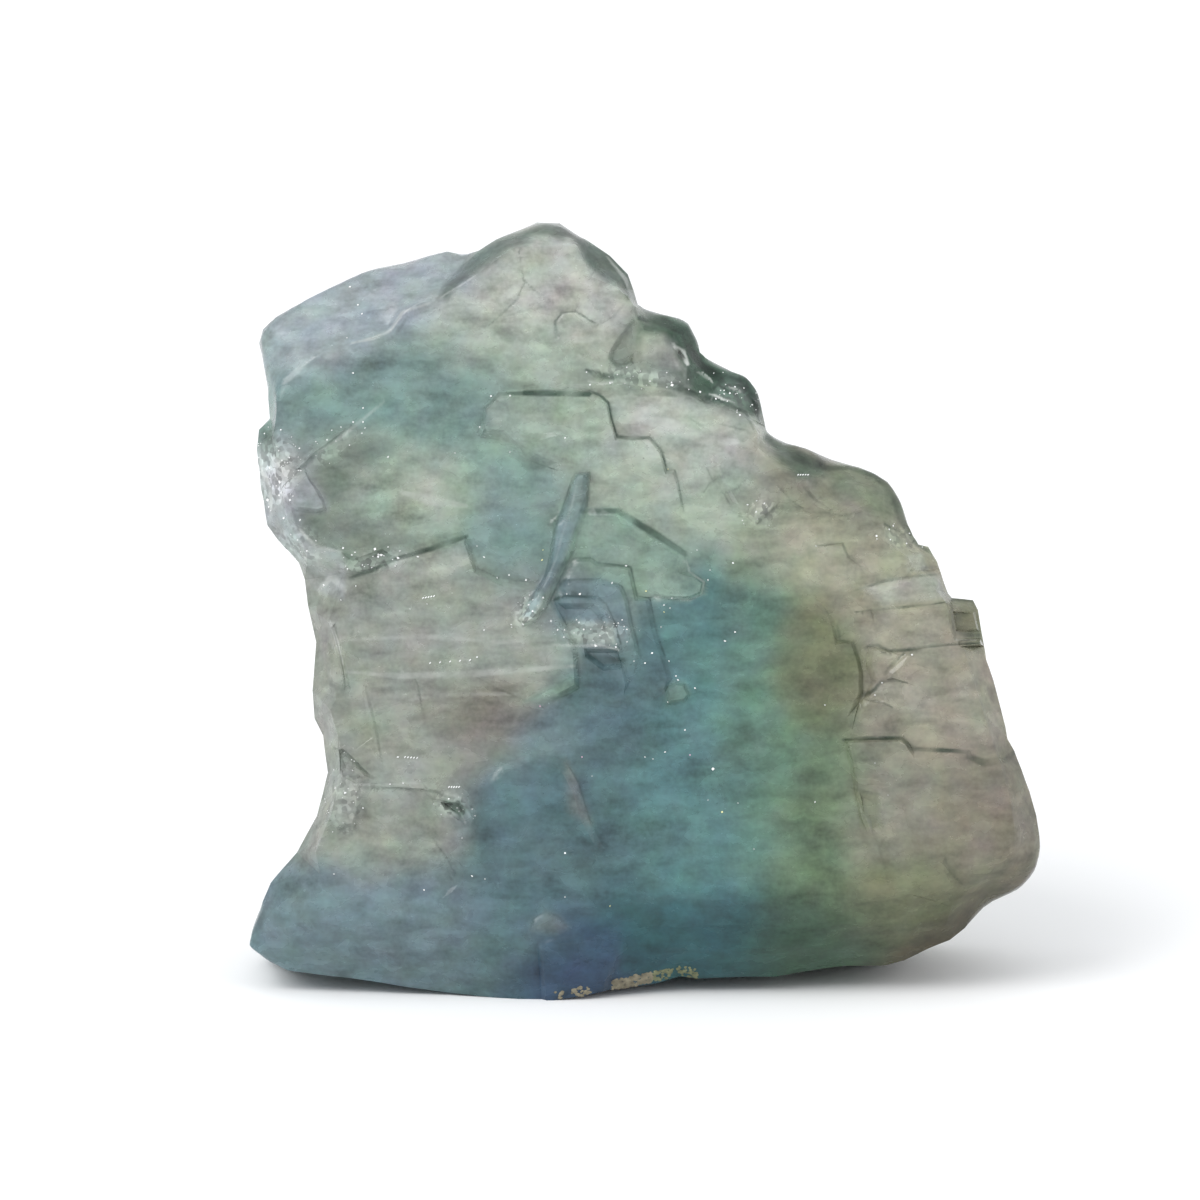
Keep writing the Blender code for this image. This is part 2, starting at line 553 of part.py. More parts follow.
def join_rings(faces, lower, upper):
    count = len(lower)
    for i in range(count):
        after = (i + 1) % count
        faces.append((lower[i], lower[after], upper[after]))
        faces.append((lower[i], upper[after], upper[i]))


def crystal_mesh():
    """The closed surface: the terraced front, the layered edge and the back."""
    lines = list(zip(*edges_of(FACE)))
    for _, outline in list(TERRACES.values()) + list(LEDGES.values()):
        lines += creases_of(outline)
    front, front_faces = triangulate(OUTLINE, lines)
    places = to_metres(front, front_height(front))
    faces = [tuple(face) for face in front_faces]

    ring = list(border_of(front, front_faces))
    border = front[ring]
    drawn = border
    for number, (depth, inset) in enumerate(LAYERS):
        for ledge in (0, 1):
            if ledge:
                drawn = layer_outline(border, inset, number)
            following = list(range(len(places), len(places) + len(ring)))
            places += to_metres(drawn, np.full(len(ring), -depth - ledge * LEDGE_DEPTH))
            join_rings(faces, ring, following)
            ring = following

    low, high = BACK_RIM_INSETS
    back_rim = drawn_in(drawn, low + (high - low) * off_ground(drawn))
    face = [(x, y, BACK_EDGE_SLOPE) for x, y in back_rim]
    lines = creases_of(face)
    for _, outline in BACK_TERRACES.values():
        for line in creases_of(outline):
            lines += parts_inside(line, face)
    rim = [tuple(point) for point in drawn]
    back, back_faces = triangulate(rim, lines)
    first = len(places)
    places += to_metres(back, back_height(back, rim, face))
    faces += [tuple(first + face) for face in back_faces[:, ::-1]]
    join_rings(faces, ring, [first + index for index in border_of(back, back_faces)])
    return places, faces


def barite_material():
    material = bpy.data.materials.new("blue-green barite")
    material.use_nodes = True
    surface = material.node_tree.nodes["Principled BSDF"]
    surface.inputs["Base Color"].default_value = BARITE_COLOUR
    surface.inputs["Roughness"].default_value = 0.22
    surface.inputs["Metallic"].default_value = 0.0
    surface.inputs["IOR"].default_value = BARITE_IOR
    surface.inputs["Transmission Weight"].default_value = 0.6
    material.diffuse_color = BARITE_COLOUR
    return material


def add_crystal():
    """The whole crystal, leant back over its base and cut flat where it stands."""
    places, faces = crystal_mesh()
    lean = Matrix.Rotation(-LEAN, 4, "X")
    mesh = bpy.data.meshes.new("barite_crystal")
    mesh.from_pydata([lean @ place for place in places], [], faces)
    shape = bmesh.new()
    shape.from_mesh(mesh)
    bmesh.ops.remove_doubles(shape, verts=shape.verts, dist=PIXEL * SAME_POINT / 10)
    bmesh.ops.recalc_face_normals(shape, faces=shape.faces)
    shape.to_mesh(mesh)
    shape.free()
    crystal = bpy.data.objects.new("barite_crystal", mesh)
    bpy.context.scene.collection.objects.link(crystal)
    mesh.materials.append(barite_material())
    return crystal


def cut_base(crystal):
    """Takes away what would reach below the surface that the crystal stands on."""
    size = WIDTH * 2
    bpy.ops.mesh.primitive_cube_add(size=size, location=(0, 0, -size / 2))
    cutter = bpy.context.active_object
    cutter.name = "ground_cutter"
    cutter.hide_render = True
    cutter.display_type = "WIRE"
    cut = crystal.modifiers.new("flat base", "BOOLEAN")
    cut.object = cutter
    cut.operation = "DIFFERENCE"
    cut.solver = "EXACT"


def centre(crystal):
    """Moves the mesh so that the origin lies under the middle of the crystal's box."""
    across = [point.co.x for point in crystal.data.vertices]
    deep = [point.co.y for point in crystal.data.vertices]
    middle = Vector(((min(across) + max(across)) / 2, (min(deep) + max(deep)) / 2, 0))
    crystal.data.transform(Matrix.Translation(-middle))


clear_scene()
barite_crystal = add_crystal()
centre(barite_crystal)
cut_base(barite_crystal)
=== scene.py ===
# %% [markdown]
# # A barite crystal, dressed for its portrait
#
# The solid of the crystal is already built: a thick tabular plate with stepped growth terraces, leaning back
# a little on its broken base. This script gives it the looks of the real stone. It copies the solid into a
# finer mesh, works relief and growth colours with painted shade and highlights into it, and adds what the
# stone holds: cracks, glints and a few crumbs of its host rock. The frame of the imported solid is loaded
# first, because every place is read from it.

# %% Load the frame
import math

import bmesh
import bpy
import numpy as np
from mathutils import Matrix, Vector, noise
from mathutils.bvhtree import BVHTree


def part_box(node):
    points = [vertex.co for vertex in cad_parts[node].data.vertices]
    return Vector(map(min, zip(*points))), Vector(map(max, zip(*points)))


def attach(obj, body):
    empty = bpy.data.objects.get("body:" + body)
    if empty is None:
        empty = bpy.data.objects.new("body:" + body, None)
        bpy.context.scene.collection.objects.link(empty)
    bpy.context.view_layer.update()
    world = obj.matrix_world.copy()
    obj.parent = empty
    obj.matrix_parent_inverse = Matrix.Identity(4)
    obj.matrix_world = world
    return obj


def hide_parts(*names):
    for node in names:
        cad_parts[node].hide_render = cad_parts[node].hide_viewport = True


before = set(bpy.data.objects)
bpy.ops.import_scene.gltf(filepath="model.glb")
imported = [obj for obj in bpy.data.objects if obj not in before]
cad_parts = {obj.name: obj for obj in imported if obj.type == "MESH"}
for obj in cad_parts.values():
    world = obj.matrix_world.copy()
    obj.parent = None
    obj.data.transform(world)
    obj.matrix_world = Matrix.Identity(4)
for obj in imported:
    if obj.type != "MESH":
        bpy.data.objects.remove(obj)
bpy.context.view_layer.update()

NODE = "barite_crystal"
low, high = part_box(NODE)
print("crystal, mm:", [round(size * 1000, 1) for size in high - low])

# %% [markdown]
# ## The camera
#
# The stone was photographed square on to its broad front, from far enough away that its sides hardly
# converge. The front leans back by 12 degrees, so the camera looks down by the same angle. A long lens gives
# the flat perspective. Its focal length and place could be guessed and nudged by hand, but it is surer to
# measure them: the script projects every corner of the solid and moves the camera until the outline's box
# falls where it lies in the picture.

# %% Aim the camera
LEAN = math.radians(12)
RIGHT = Vector((1, 0, 0))
UP = Vector((0, math.sin(LEAN), math.cos(LEAN)))
OUT = Vector((0, -math.cos(LEAN), math.sin(LEAN)))

PICTURE = 1200
OUTLINE_LEFT, OUTLINE_RIGHT = 244, 1041
OUTLINE_TOP, OUTLINE_BOTTOM = 221, 1000
CAMERA_DISTANCE = 0.6
SENSOR = 0.036


def picture_places(points, eye, lens):
    """Where points in space fall in the picture, in pixels from its upper left corner."""
    offset = points - np.array(eye)
    depth = -offset @ np.array(OUT)
    scale = lens / SENSOR * PICTURE / depth
    return np.column_stack((
        PICTURE / 2 + offset @ np.array(RIGHT) * scale,
        PICTURE / 2 - offset @ np.array(UP) * scale,
    ))


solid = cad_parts[NODE].data
corners = np.array([point.co for point in solid.vertices])
eye = (low + high) / 2 + OUT * CAMERA_DISTANCE
lens = 0.27
for attempt in range(8):
    places = picture_places(corners, eye, lens)
    left, top = places.min(axis=0)
    right, bottom = places.max(axis=0)
    lens *= (OUTLINE_RIGHT - OUTLINE_LEFT) / (right - left)
    metres = CAMERA_DISTANCE * SENSOR / lens / PICTURE
    eye += RIGHT * metres * ((left + right) - (OUTLINE_LEFT + OUTLINE_RIGHT)) / 2
    eye += UP * metres * ((OUTLINE_TOP + OUTLINE_BOTTOM) - (top + bottom)) / 2

camera = bpy.data.objects.new("camera", bpy.data.cameras.new("camera"))
camera.data.lens = lens * 1000
camera.data.sensor_width = SENSOR * 1000
camera.data.clip_start = 0.01
camera.matrix_world = Matrix.Translation(eye) @ Matrix((RIGHT, UP, OUT)).transposed().to_4x4()
bpy.context.scene.collection.objects.link(camera)
bpy.context.scene.camera = camera
PIXEL = metres
print(f"lens {lens * 1000:.0f} mm, one pixel is {PIXEL * 1000:.4f} mm")
print("outline's box, px:", [round(float(edge), 1) for edge in (left, top, right, bottom)])

# %% [markdown]
# ## The studio
#
# A pale floor runs back and curves up behind the stone, so that there is no horizon. Light comes from a broad
# soft panel high on the left, a weaker one on the right and the white room itself. A see-through stone shows
# what is behind it, so the pale backdrop lights it from behind as well.

# %% Build the floor and the light
SWEEP_WIDTH = 3.0
SWEEP_FRONT = -1.2
SWEEP_BACK = 0.9
SWEEP_RADIUS = 0.5
SWEEP_TOP = 2.2
SWEEP_STEPS = 16


def paper_material():
    """Matt white paper, with a faint painted unevenness of light, as on a sheet that isn't lit quite the same
    all over.
    """
    material = bpy.data.materials.new("white paper")
    material.use_nodes = True
    nodes, links = material.node_tree.nodes, material.node_tree.links
    surface = nodes["Principled BSDF"]
    surface.inputs["Roughness"].default_value = 0.9
    painted_light_patches = nodes.new("ShaderNodeTexNoise")
    painted_light_patches.inputs["Scale"].default_value = 6
    tone = nodes.new("ShaderNodeValToRGB")
    tone.color_ramp.elements[0].color = (0.92, 0.92, 0.925, 1)
    tone.color_ramp.elements[1].color = (0.94, 0.94, 0.94, 1)
    links.new(painted_light_patches.outputs["Fac"], tone.inputs["Fac"])
    links.new(tone.outputs["Color"], surface.inputs["Base Color"])
    return material


def add_sweep():
    turns = [math.radians(90 * step / SWEEP_STEPS) for step in range(SWEEP_STEPS + 1)]
    profile = [(SWEEP_FRONT, 0.0)]
    profile += [
        (SWEEP_BACK + SWEEP_RADIUS * math.sin(turn), SWEEP_RADIUS * (1 - math.cos(turn))) for turn in turns
    ]
    profile.append((SWEEP_BACK + SWEEP_RADIUS, SWEEP_TOP))
    points = [(side * SWEEP_WIDTH / 2, y, z) for side in (-1, 1) for y, z in profile]
    count = len(profile)
    faces = [(i, count + i, count + i + 1, i + 1) for i in range(count - 1)]
    mesh = bpy.data.meshes.new("sweep")
    mesh.from_pydata(points, [], faces)
    mesh.shade_smooth()
    mesh.materials.append(paper_material())
    sweep = bpy.data.objects.new("sweep", mesh)
    bpy.context.scene.collection.objects.link(sweep)


def add_panel(name, place, size, power):
    """A soft square light panel that faces the stone."""
    light = bpy.data.lights.new(name, "AREA")
    light.shape = "SQUARE"
    light.size = size
    light.energy = power
    panel = bpy.data.objects.new(name, light)
    panel.location = place
    panel.rotation_euler = (Vector((0, 0, 0.025)) - Vector(place)).to_track_quat("-Z", "Y").to_euler()
    bpy.context.scene.collection.objects.link(panel)


add_sweep()
add_panel("main panel", (-0.55, -0.50, 0.75), 0.60, 6.0)
add_panel("side panel", (0.80, -0.45, 0.45), 0.50, 1.6)
room = bpy.data.worlds.new("room")
room.use_nodes = True
room.node_tree.nodes["Background"].inputs["Color"].default_value = (0.96, 0.98, 1.0, 1)
room.node_tree.nodes["Background"].inputs["Strength"].default_value = 0.95
bpy.context.scene.world = room
bpy.context.scene.view_settings.view_transform = "Standard"
print("studio ready")

# %% [markdown]
# ## A finer mesh for the crystal
#
# The solid's facets are large. Real growth faces carry relief that is much finer, so the piece that is shown
# is a copy with its triangles split until they are small enough to hold it: very fine along cracks and step
# edges, fine on the front, coarser on the sides and the back. A voxel remesh would be quicker, but it would
# round off the terraces' crisp steps. First the fine places are named, as they were found in the picture.

# %% Name the cracks, the step edges and the broken places
FRONT_EDGE = 0.00043
BACK_EDGE = 0.0010
FROST_EDGE = 0.00028
LINE_EDGE = 0.00019
LINE_REACH = 1.5
LINE_CORE = 1.6
FROST_RIM = 0.6
FRONT_FACING = 0.2
NOTICED_FROST = 0.15
NEAR_A_LINE = 12
SPLIT_PASSES = 7
KEY_STEP = 10 ** 7

# Each line: how dark (below 0) or bright (above 0) it is, how deep it is cut in mm, then x, y and half width
# of its points in pixels. Cracks are darker in their own colour. The dark along step edges, bevels and the
# lobe and shoulder rims, and the lines named shade or shadow, is painted shade. Veils, seams and frost rims
# are pale in their own colour. The glint, gleam, light, sparkling and pale edge lines and the bright nest
# edges are painted highlights.
LINES = {
    "peak crack": (-0.45, 0.1, [
        (557, 336, 3.4), (555, 322, 1.6), (562, 313, 2.4), (576, 311, 1.2), (586, 318, 1.6),
        (598, 325, 0.6)]),
    "peak line": (-0.3, 0.05, [(519, 252, 0.8), (524, 280, 1.4), (536, 292, 1.4), (554, 303, 0.8)]),
    "peak branch": (-0.32, 0.05, [(524, 284, 1), (517, 300, 1.4), (504, 312, 1.6), (488, 326, 0.8)]),
    "peak cloud edge": (-0.25, 0.04, [(542, 307, 0.8), (520, 312, 1.6), (500, 318, 0.8)]),
    "bevel's pale edge": (0.3, 0, [(606, 256, 1), (626, 280, 3), (634, 302, 2)]),
    "hollow's edge": (-0.35, 0, [
        (634, 320, 2), (618, 340, 3), (609, 356, 3), (617, 367, 2.5), (632, 362, 2)]),
    "plate top edge": (-0.84, 0, [(524, 393, 3.6), (555, 393, 4.6), (589, 394, 4)]),
    "plate top corner": (-0.6, 0, [(484, 408, 1.2), (499, 394, 2.6), (526, 393, 3)]),
    "step line": (-0.7, 0, [
        (590, 391, 1.8), (600, 395, 1.8), (609, 403, 2), (612, 420, 1.4), (617, 437, 2.2), (634, 438, 2.8),
        (650, 437, 2.4), (662, 450, 2), (667, 470, 1.2)]),
    "step line end": (-0.45, 0, [(675, 470, 1), (679, 486, 1.4), (684, 512, 0.8)]),
    "ledge fleck": (0.4, 0, [(588, 381, 1.2), (602, 384, 2.2), (612, 382, 1.2)]),
    "ledge dark fleck": (-0.62, 0, [(588, 370, 1.4), (596, 377, 3), (606, 376, 1.6)]),
    "ledge green": (-0.35, 0, [(622, 386, 3), (640, 392, 7), (662, 392, 5), (676, 396, 2)]),
    "broken ledge": (-0.55, 0.04, [
        (586, 370, 2), (602, 376, 5), (625, 377, 4), (650, 383, 4), (678, 387, 5), (704, 398, 5)]),
    "lobe rim": (-0.72, 0, [
        (640, 318, 4), (664, 322, 7), (684, 332, 6), (690, 350, 6), (702, 366, 6), (722, 380, 9),
        (744, 384, 8), (754, 398, 5), (760, 420, 3)]),
    "far lobe cracks": (-0.55, 0, [
        (688, 390, 2), (700, 400, 3), (716, 398, 2), (730, 406, 3), (746, 412, 2.4), (754, 430, 1.6)]),
    "lobe light": (0.32, 0, [(648, 321, 2), (658, 320, 3), (662, 323, 1.4)]),
    "lobe glint": (0.62, 0, [(674, 346, 2), (682, 353, 5.6), (688, 364, 2.4)]),
    "shoulder rim": (-0.5, 0, [
        (768, 438, 5), (790, 452, 9), (812, 462, 8), (824, 468, 4), (850, 468, 3), (875, 476, 4),
        (893, 492, 6), (902, 520, 6), (918, 545, 4)]),
    "pearl crack": (-0.3, 0.03, [
        (706, 466, 0.8), (712, 480, 1.6), (724, 494, 1.2), (734, 512, 1.6), (747, 520, 0.8)]),
    "pearl fork": (-0.26, 0.03, [(724, 494, 1), (738, 488, 1.4), (750, 474, 0.8)]),
    "pearl edge": (-0.24, 0, [(690, 418, 0.8), (700, 425, 1.6), (720, 424, 1.2), (744, 430, 1.4)]),
    "shelf cracks": (-0.32, 0.04, [
        (778, 486, 1), (790, 500, 1.6), (806, 512, 1.2), (822, 512, 1.8), (842, 516, 1.4), (862, 512, 1)]),
    "shelf fork": (-0.28, 0.04, [(802, 486, 1), (816, 500, 1.6), (832, 512, 1)]),
    "nest top edge": (-0.66, 0, [(582, 511, 3.4), (600, 511, 4), (621, 511, 3.4)]),
    "nest slant": (-0.74, 0, [(621, 513, 4), (652, 532, 5.6), (685, 554, 4.4)]),
    "nest round edge": (0.22, 0, [
        (686, 560, 1.2), (690, 573, 1.4), (704, 582, 1.4), (702, 594, 1.6), (690, 600, 1.4), (655, 597, 1)]),
    "nest step 2": (-0.46, 0, [
        (566, 562, 1.4), (576, 558, 1.6), (592, 558, 1.6), (598, 563, 1.4), (631, 567, 1.8), (637, 596, 1.2),
        (650, 598, 1.2), (657, 632, 1.8), (665, 656, 1.6)]),
    "nest step 3": (-0.34, 0, [
        (556, 590, 1.4), (564, 580, 1.6), (600, 579, 1.4), (622, 586, 1.2), (628, 600, 1.4), (633, 626, 1.6),
        (641, 656, 1.4)]),
    "nest step 4": (-0.52, 0, [
        (554, 600, 1.6), (564, 596, 2), (598, 597, 2.2), (606, 604, 1.8), (614, 620, 1.8), (621, 644, 1.4)]),
    "nest floor line": (0.28, 0, [(553, 645, 1.2), (580, 646, 2), (600, 645, 1.4), (618, 650, 1.8)]),
    "below the nest": (-0.42, 0, [(584, 656, 3), (604, 660, 6), (624, 660, 3)]),
    "lath left side": (-0.3, 0, [
        (572, 480, 1.2), (566, 497, 1.2), (559, 516, 1.2), (551, 545, 1.4), (546, 574, 1.4), (534, 594, 1.6),
        (523, 610, 1.2)]),
    "lath right side": (-0.4, 0, [
        (588, 474, 1.8), (588, 500, 3), (581, 526, 2.4), (573, 553, 2), (560, 580, 1.6), (545, 611, 1.2)]),
    "lath ridge": (0.1, 0, [
        (578, 478, 1), (572, 505, 1.4), (562, 535, 1.4), (556, 560, 1.2), (538, 598, 1.2)]),
    "left plate edge": (-0.76, 0, [
        (350, 578, 2), (372, 570, 3), (388, 562, 2.4), (402, 557, 3), (430, 549, 3.4), (455, 540, 3.8),
        (467, 536, 2.4)]),
    "left plate side": (-0.28, 0, [(468, 538, 1.6), (478, 568, 1.2), (500, 578, 0.8)]),
    "left plate corner": (-0.16, 0, [(566, 622, 0.8), (578, 650, 1.4), (580, 688, 1.4), (546, 706, 1)]),
    "plate veil": (0.2, 0, [(346, 672, 1.5), (400, 676, 4), (470, 674, 5), (574, 666, 2)]),
    "plate veil above": (0.14, 0, [(350, 640, 1.5), (420, 636, 3.5), (500, 642, 3), (556, 640, 1.5)]),
    "plate veil below": (0.12, 0, [(410, 700, 1.5), (450, 694, 3), (520, 694, 2)]),
    "mist veil": (0.24, 0, [(400, 492, 2), (430, 500, 8), (466, 506, 3)]),
    "pearl veil": (0.3, 0, [(640, 420, 4), (668, 424, 9), (700, 438, 8), (736, 442, 4)]),
    "peak veil": (0.2, 0, [(500, 300, 4), (530, 280, 9), (560, 262, 9), (590, 290, 6)]),
    "peak lower veil": (0.16, 0, [(576, 340, 4), (600, 338, 7), (606, 320, 4)]),
    "dark in the mist": (-0.14, 0, [(334, 500, 5), (350, 480, 9), (380, 482, 7), (400, 474, 3)]),
    "sparkling shelf": (0.2, 0.05, [(352, 784, 1.2), (384, 785, 1.8), (418, 783, 1.2)]),
    "shelf shadow": (-0.3, 0.05, [(372, 788, 1.4), (400, 789, 2), (440, 792, 1.6)]),
    "triangle left": (-0.22, 0.03, [(478, 678, 0.8), (500, 689, 1.4), (526, 701, 1.8)]),
    "triangle right": (-0.18, 0.03, [(526, 701, 1.6), (545, 692, 1.2), (572, 676, 0.8)]),
    "long crack": (-0.26, 0.05, [(366, 686, 0.8), (370, 702, 1.4), (378, 736, 1.4), (382, 762, 0.8)]),
    "short crack": (-0.3, 0.05, [(415, 676, 0.8), (419, 690, 1.6), (422, 710, 0.8)]),
    "thread": (-0.28, 0.03, [(690, 694, 0.8), (702, 692, 1.4), (712, 692, 1.2), (724, 694, 0.8)]),
    "scale crack": (-0.28, 0.04, [(704, 492, 0.8), (709, 484, 1.4), (718, 478, 0.8)]),
    "foot crack": (-0.34, 0.06, [(432, 838, 0.8), (444, 854, 1.6), (454, 872, 1)]),
    "foot shelf": (-0.3, 0.05, [(424, 787, 1), (446, 797, 2), (462, 801, 2.4), (472, 815, 2)]),
    "straw crack": (-0.5, 0.04, [(904, 653, 1.2), (893, 664, 2), (885, 674, 1.6)]),
    "straw crack below": (-0.6, 0.05, [
        (860, 697, 2.4), (873, 691, 3.2), (881, 682, 2.2), (893, 680, 1.8), (907, 683, 1)]),
    "straw crack foot": (-0.48, 0.04, [(866, 700, 1.4), (881, 702, 1.8), (892, 707, 1.2)]),
    "pit side": (-0.35, 0, [(852, 788, 1.6), (868, 793, 2.6), (880, 794, 1.6)]),
    "dun step": (-0.3, 0, [(944, 856, 1.2), (950, 872, 1.8), (962, 884, 1.2)]),
    "far lobe shards": (-0.6, 0, [
        (704, 384, 1), (712, 390, 2.6), (718, 384, 1.6), (728, 392, 2.2), (738, 390, 1)]),
    "far lobe splinter": (0.45, 0, [(726, 384, 1), (732, 388, 2.4), (741, 392, 1.2)]),
    "near lobe shard": (0.42, 0, [(703, 372, 1), (709, 376, 2.6), (712, 382, 1.2)]),
    "far lobe light": (0.42, 0, [(710, 394, 1.2), (722, 398, 2), (734, 403, 1.2)]),
    "far lobe fleck": (0.45, 0, [(744, 384, 1.2), (752, 396, 2), (757, 408, 1.2)]),
    "far lobe gleam": (0.36, 0, [(698, 372, 1.2), (708, 378, 2.2), (716, 378, 1.2)]),
    "olive edge": (-0.3, 0, [
        (838, 622, 1.4), (840, 640, 1.8), (853, 644, 2.4), (860, 662, 3.2), (862, 692, 3.2), (853, 712, 2)]),
    "straw step 1": (-0.4, 0, [(852, 592, 1.2), (884, 581, 2), (908, 577, 1.8), (960, 572, 1.2)]),
    "straw step 2": (-0.55, 0, [(855, 612, 1.2), (884, 609, 1.8), (926, 605, 1.8), (946, 602, 1.4)]),
    "straw step 3": (-0.64, 0, [
        (868, 646, 1.6), (878, 645, 1.8), (888, 651, 2.2), (906, 650, 2.4), (926, 647, 2.2), (946, 645, 1.8),
        (980, 643, 1.4)]),
    "block top": (-0.5, 0, [(950, 600, 2), (962, 599, 3.4), (974, 600, 2.4)]),
    "block bar": (-0.62, 0, [(956, 633, 2.4), (968, 635, 3.2), (978, 635, 2.6)]),
    "block side": (-0.4, 0, [(951, 604, 1.8), (953, 622, 2.2), (955, 640, 1.4)]),
    "block light line": (0.35, 0, [(955, 640, 1.2), (978, 640, 1.4)]),
    "corner step": (-0.34, 0, [(817, 546, 1.2), (842, 543, 1.6), (848, 557, 1.6), (860, 566, 1)]),
    "notch": (-0.46, 0, [(884, 524, 1.4), (904, 534, 2.2), (918, 545, 2.6), (936, 556, 2.4)]),
    "right step line": (-0.76, 0, [
        (843, 740, 1.8), (868, 738, 2.8), (903, 738, 2.8), (912, 749, 3), (940, 750, 3.4), (968, 752, 2.8)]),
    "right step band": (-0.5, 0, [(968, 756, 4), (984, 763, 6), (1006, 760, 5), (1020, 746, 2.4)]),
    "right plate side": (-0.2, 0, [(852, 744, 1.6), (862, 800, 2.4), (884, 862, 2), (888, 884, 1.2)]),
    "lens edge": (-0.22, 0, [
        (530, 930, 1), (534, 919, 1.6), (545, 912, 1.8), (558, 916, 1.8), (567, 926, 1)]),
    "lower plate side": (-0.3, 0, [(569, 766, 1.2), (579, 784, 1.8), (590, 820, 1.8), (604, 846, 1.2)]),
    "side sliver": (0.42, 0, [(330, 622, 1.6), (337, 642, 2.8), (343, 664, 1.4)]),
    "frost rim": (0.3, 0, [(300, 530, 1.5), (316, 547, 3), (342, 552, 1.6)]),
    "edge chips": (0.36, 0, [(261, 468, 2), (270, 490, 3.4), (271, 516, 2)]),
    "lower frost": (0.3, 0, [(318, 590, 2), (331, 577, 4.6), (345, 590, 3)]),
    "shoulder seam": (0.22, 0, [(318, 452, 1.5), (345, 434, 2.6), (362, 420, 2.4), (384, 402, 1.5)]),
    "corner seam": (0.26, 0, [
        (352, 343, 1.5), (374, 338, 2.8), (390, 330, 2.8), (402, 312, 2.2), (430, 303, 1.5)]),
    "seam shadow": (-0.22, 0, [
        (356, 349, 1.2), (378, 345, 2.4), (395, 336, 2.4), (407, 318, 2), (436, 308, 1.2)]),
    "peak vein": (-0.2, 0, [(598, 325, 1), (612, 318, 2), (628, 300, 1)]),
    "peak shade": (-0.18, 0, [(540, 330, 4), (552, 344, 8), (580, 350, 7), (600, 362, 3)]),
    "peak left shade": (-0.14, 0, [(470, 330, 4), (490, 322, 8), (510, 340, 6)]),
    "shelf line": (-0.34, 0.04, [(334, 748, 1.2), (346, 752, 2.2), (362, 770, 2.4), (374, 778, 1.4)]),
}

# Broken, frosty places: middle and half sizes in pixels, turn in degrees, and how rough they are.
FROST = {
    "left edge chips": (277, 470, 26, 48, 0, 1.0),
    "below the flake": (300, 545, 34, 26, 20, 0.6),
    "shelf rubble": (372, 562, 40, 13, -8, 1.0),
    "flake edge": (330, 448, 46, 14, -35, 0.6),
    "lath tip": (527, 610, 15, 24, 30, 1.0),
    "nest rubble": (598, 632, 42, 18, 0, 1.0),
    "right lobe chips": (640, 377, 58, 12, 8, 0.8),
    "far lobe chips": (735, 392, 30, 24, 30, 0.9),
    "scaly patch": (762, 512, 22, 16, -30, 0.8),
    "pit edge": (455, 806, 26, 16, 30, 0.9),
    "left foot chips": (346, 800, 22, 48, 0, 0.6),
    "rim notch": (905, 540, 34, 14, 20, 0.6),
}
print(len(LINES), "lines and", len(FROST), "broken places")

# %% [markdown]
# ## Nearness, and how to split
#
# A place's pixel in the picture tells how near it is to each line and each broken place. Every edge that is
# too long for its place gets a new point in its middle, and each triangle is then cut by a fixed pattern for
# one, two or three such points. Both triangles at an edge see the same new point, so a closed mesh stays
# closed.

# %% Measure how near a place is to each of them


def smooth(share):
    share = np.clip(share, 0, 1)
    return share * share * (3 - 2 * share)


def ellipse_distance(spots, x, y, half_width, half_height, turn):
    """How far each spot is from the middle of a turned ellipse: 0 there and 1 on its edge."""
    angle = math.radians(turn)
    aside, down = spots[:, 0] - x, spots[:, 1] - y
    along = (aside * math.cos(angle) + down * math.sin(angle)) / half_width
    across = (down * math.cos(angle) - aside * math.sin(angle)) / half_height
    return np.hypot(along, across)


def frost_shares(spots):
    return np.max([
        rough * smooth((1 - ellipse_distance(spots, *ellipse)) / FROST_RIM)
        for *ellipse, rough in FROST.values()
    ], axis=0)


def segment_gap(spots, start, end):
    """How far spots are from a straight piece of line, and how far along it their nearest point is."""
    start, along = np.array(start), np.subtract(end, start)
    share = np.clip((spots - start) @ along / (along @ along), 0, 1)
    return np.linalg.norm(spots - start - share[:, None] * along, axis=1), share


def line_shares(spots, points, widen=0.0):
    """1 on a line, falling to 0 at its half width."""
    deepest = np.zeros(len(spots))
    for (x0, y0, w0), (x1, y1, w1) in zip(points, points[1:]):
        gap, share = segment_gap(spots, (x0, y0), (x1, y1))
        deepest = np.maximum(deepest, 1 - gap / (w0 + (w1 - w0) * share + widen))
    return deepest


def longest_edges(middles, facing, lengths):
    """How long an edge may stay at each place, where facing is how far its surface looks to the front."""
    front = facing > FRONT_FACING
    limits = np.where(front, FRONT_EDGE, BACK_EDGE)
    unsure = np.flatnonzero(front & (lengths > LINE_EDGE))
    spots = picture_places(middles[unsure], eye, lens)
    limits[unsure[frost_shares(spots) > NOTICED_FROST]] = FROST_EDGE
    for tone, depth, points in LINES.values():
        corners = np.array(points)[:, :2]
        close = (spots > corners.min(axis=0) - NEAR_A_LINE) & (spots < corners.max(axis=0) + NEAR_A_LINE)
        close = close.all(axis=1)
        close = np.flatnonzero(close)
        limits[unsure[close[line_shares(spots[close], points, LINE_REACH) > 0]]] = LINE_EDGE
    return limits


def edge_keys(edges):
    """One number for each edge, the same whichever way round its two points are given."""
    return edges.min(axis=1) * KEY_STEP + edges.max(axis=1)


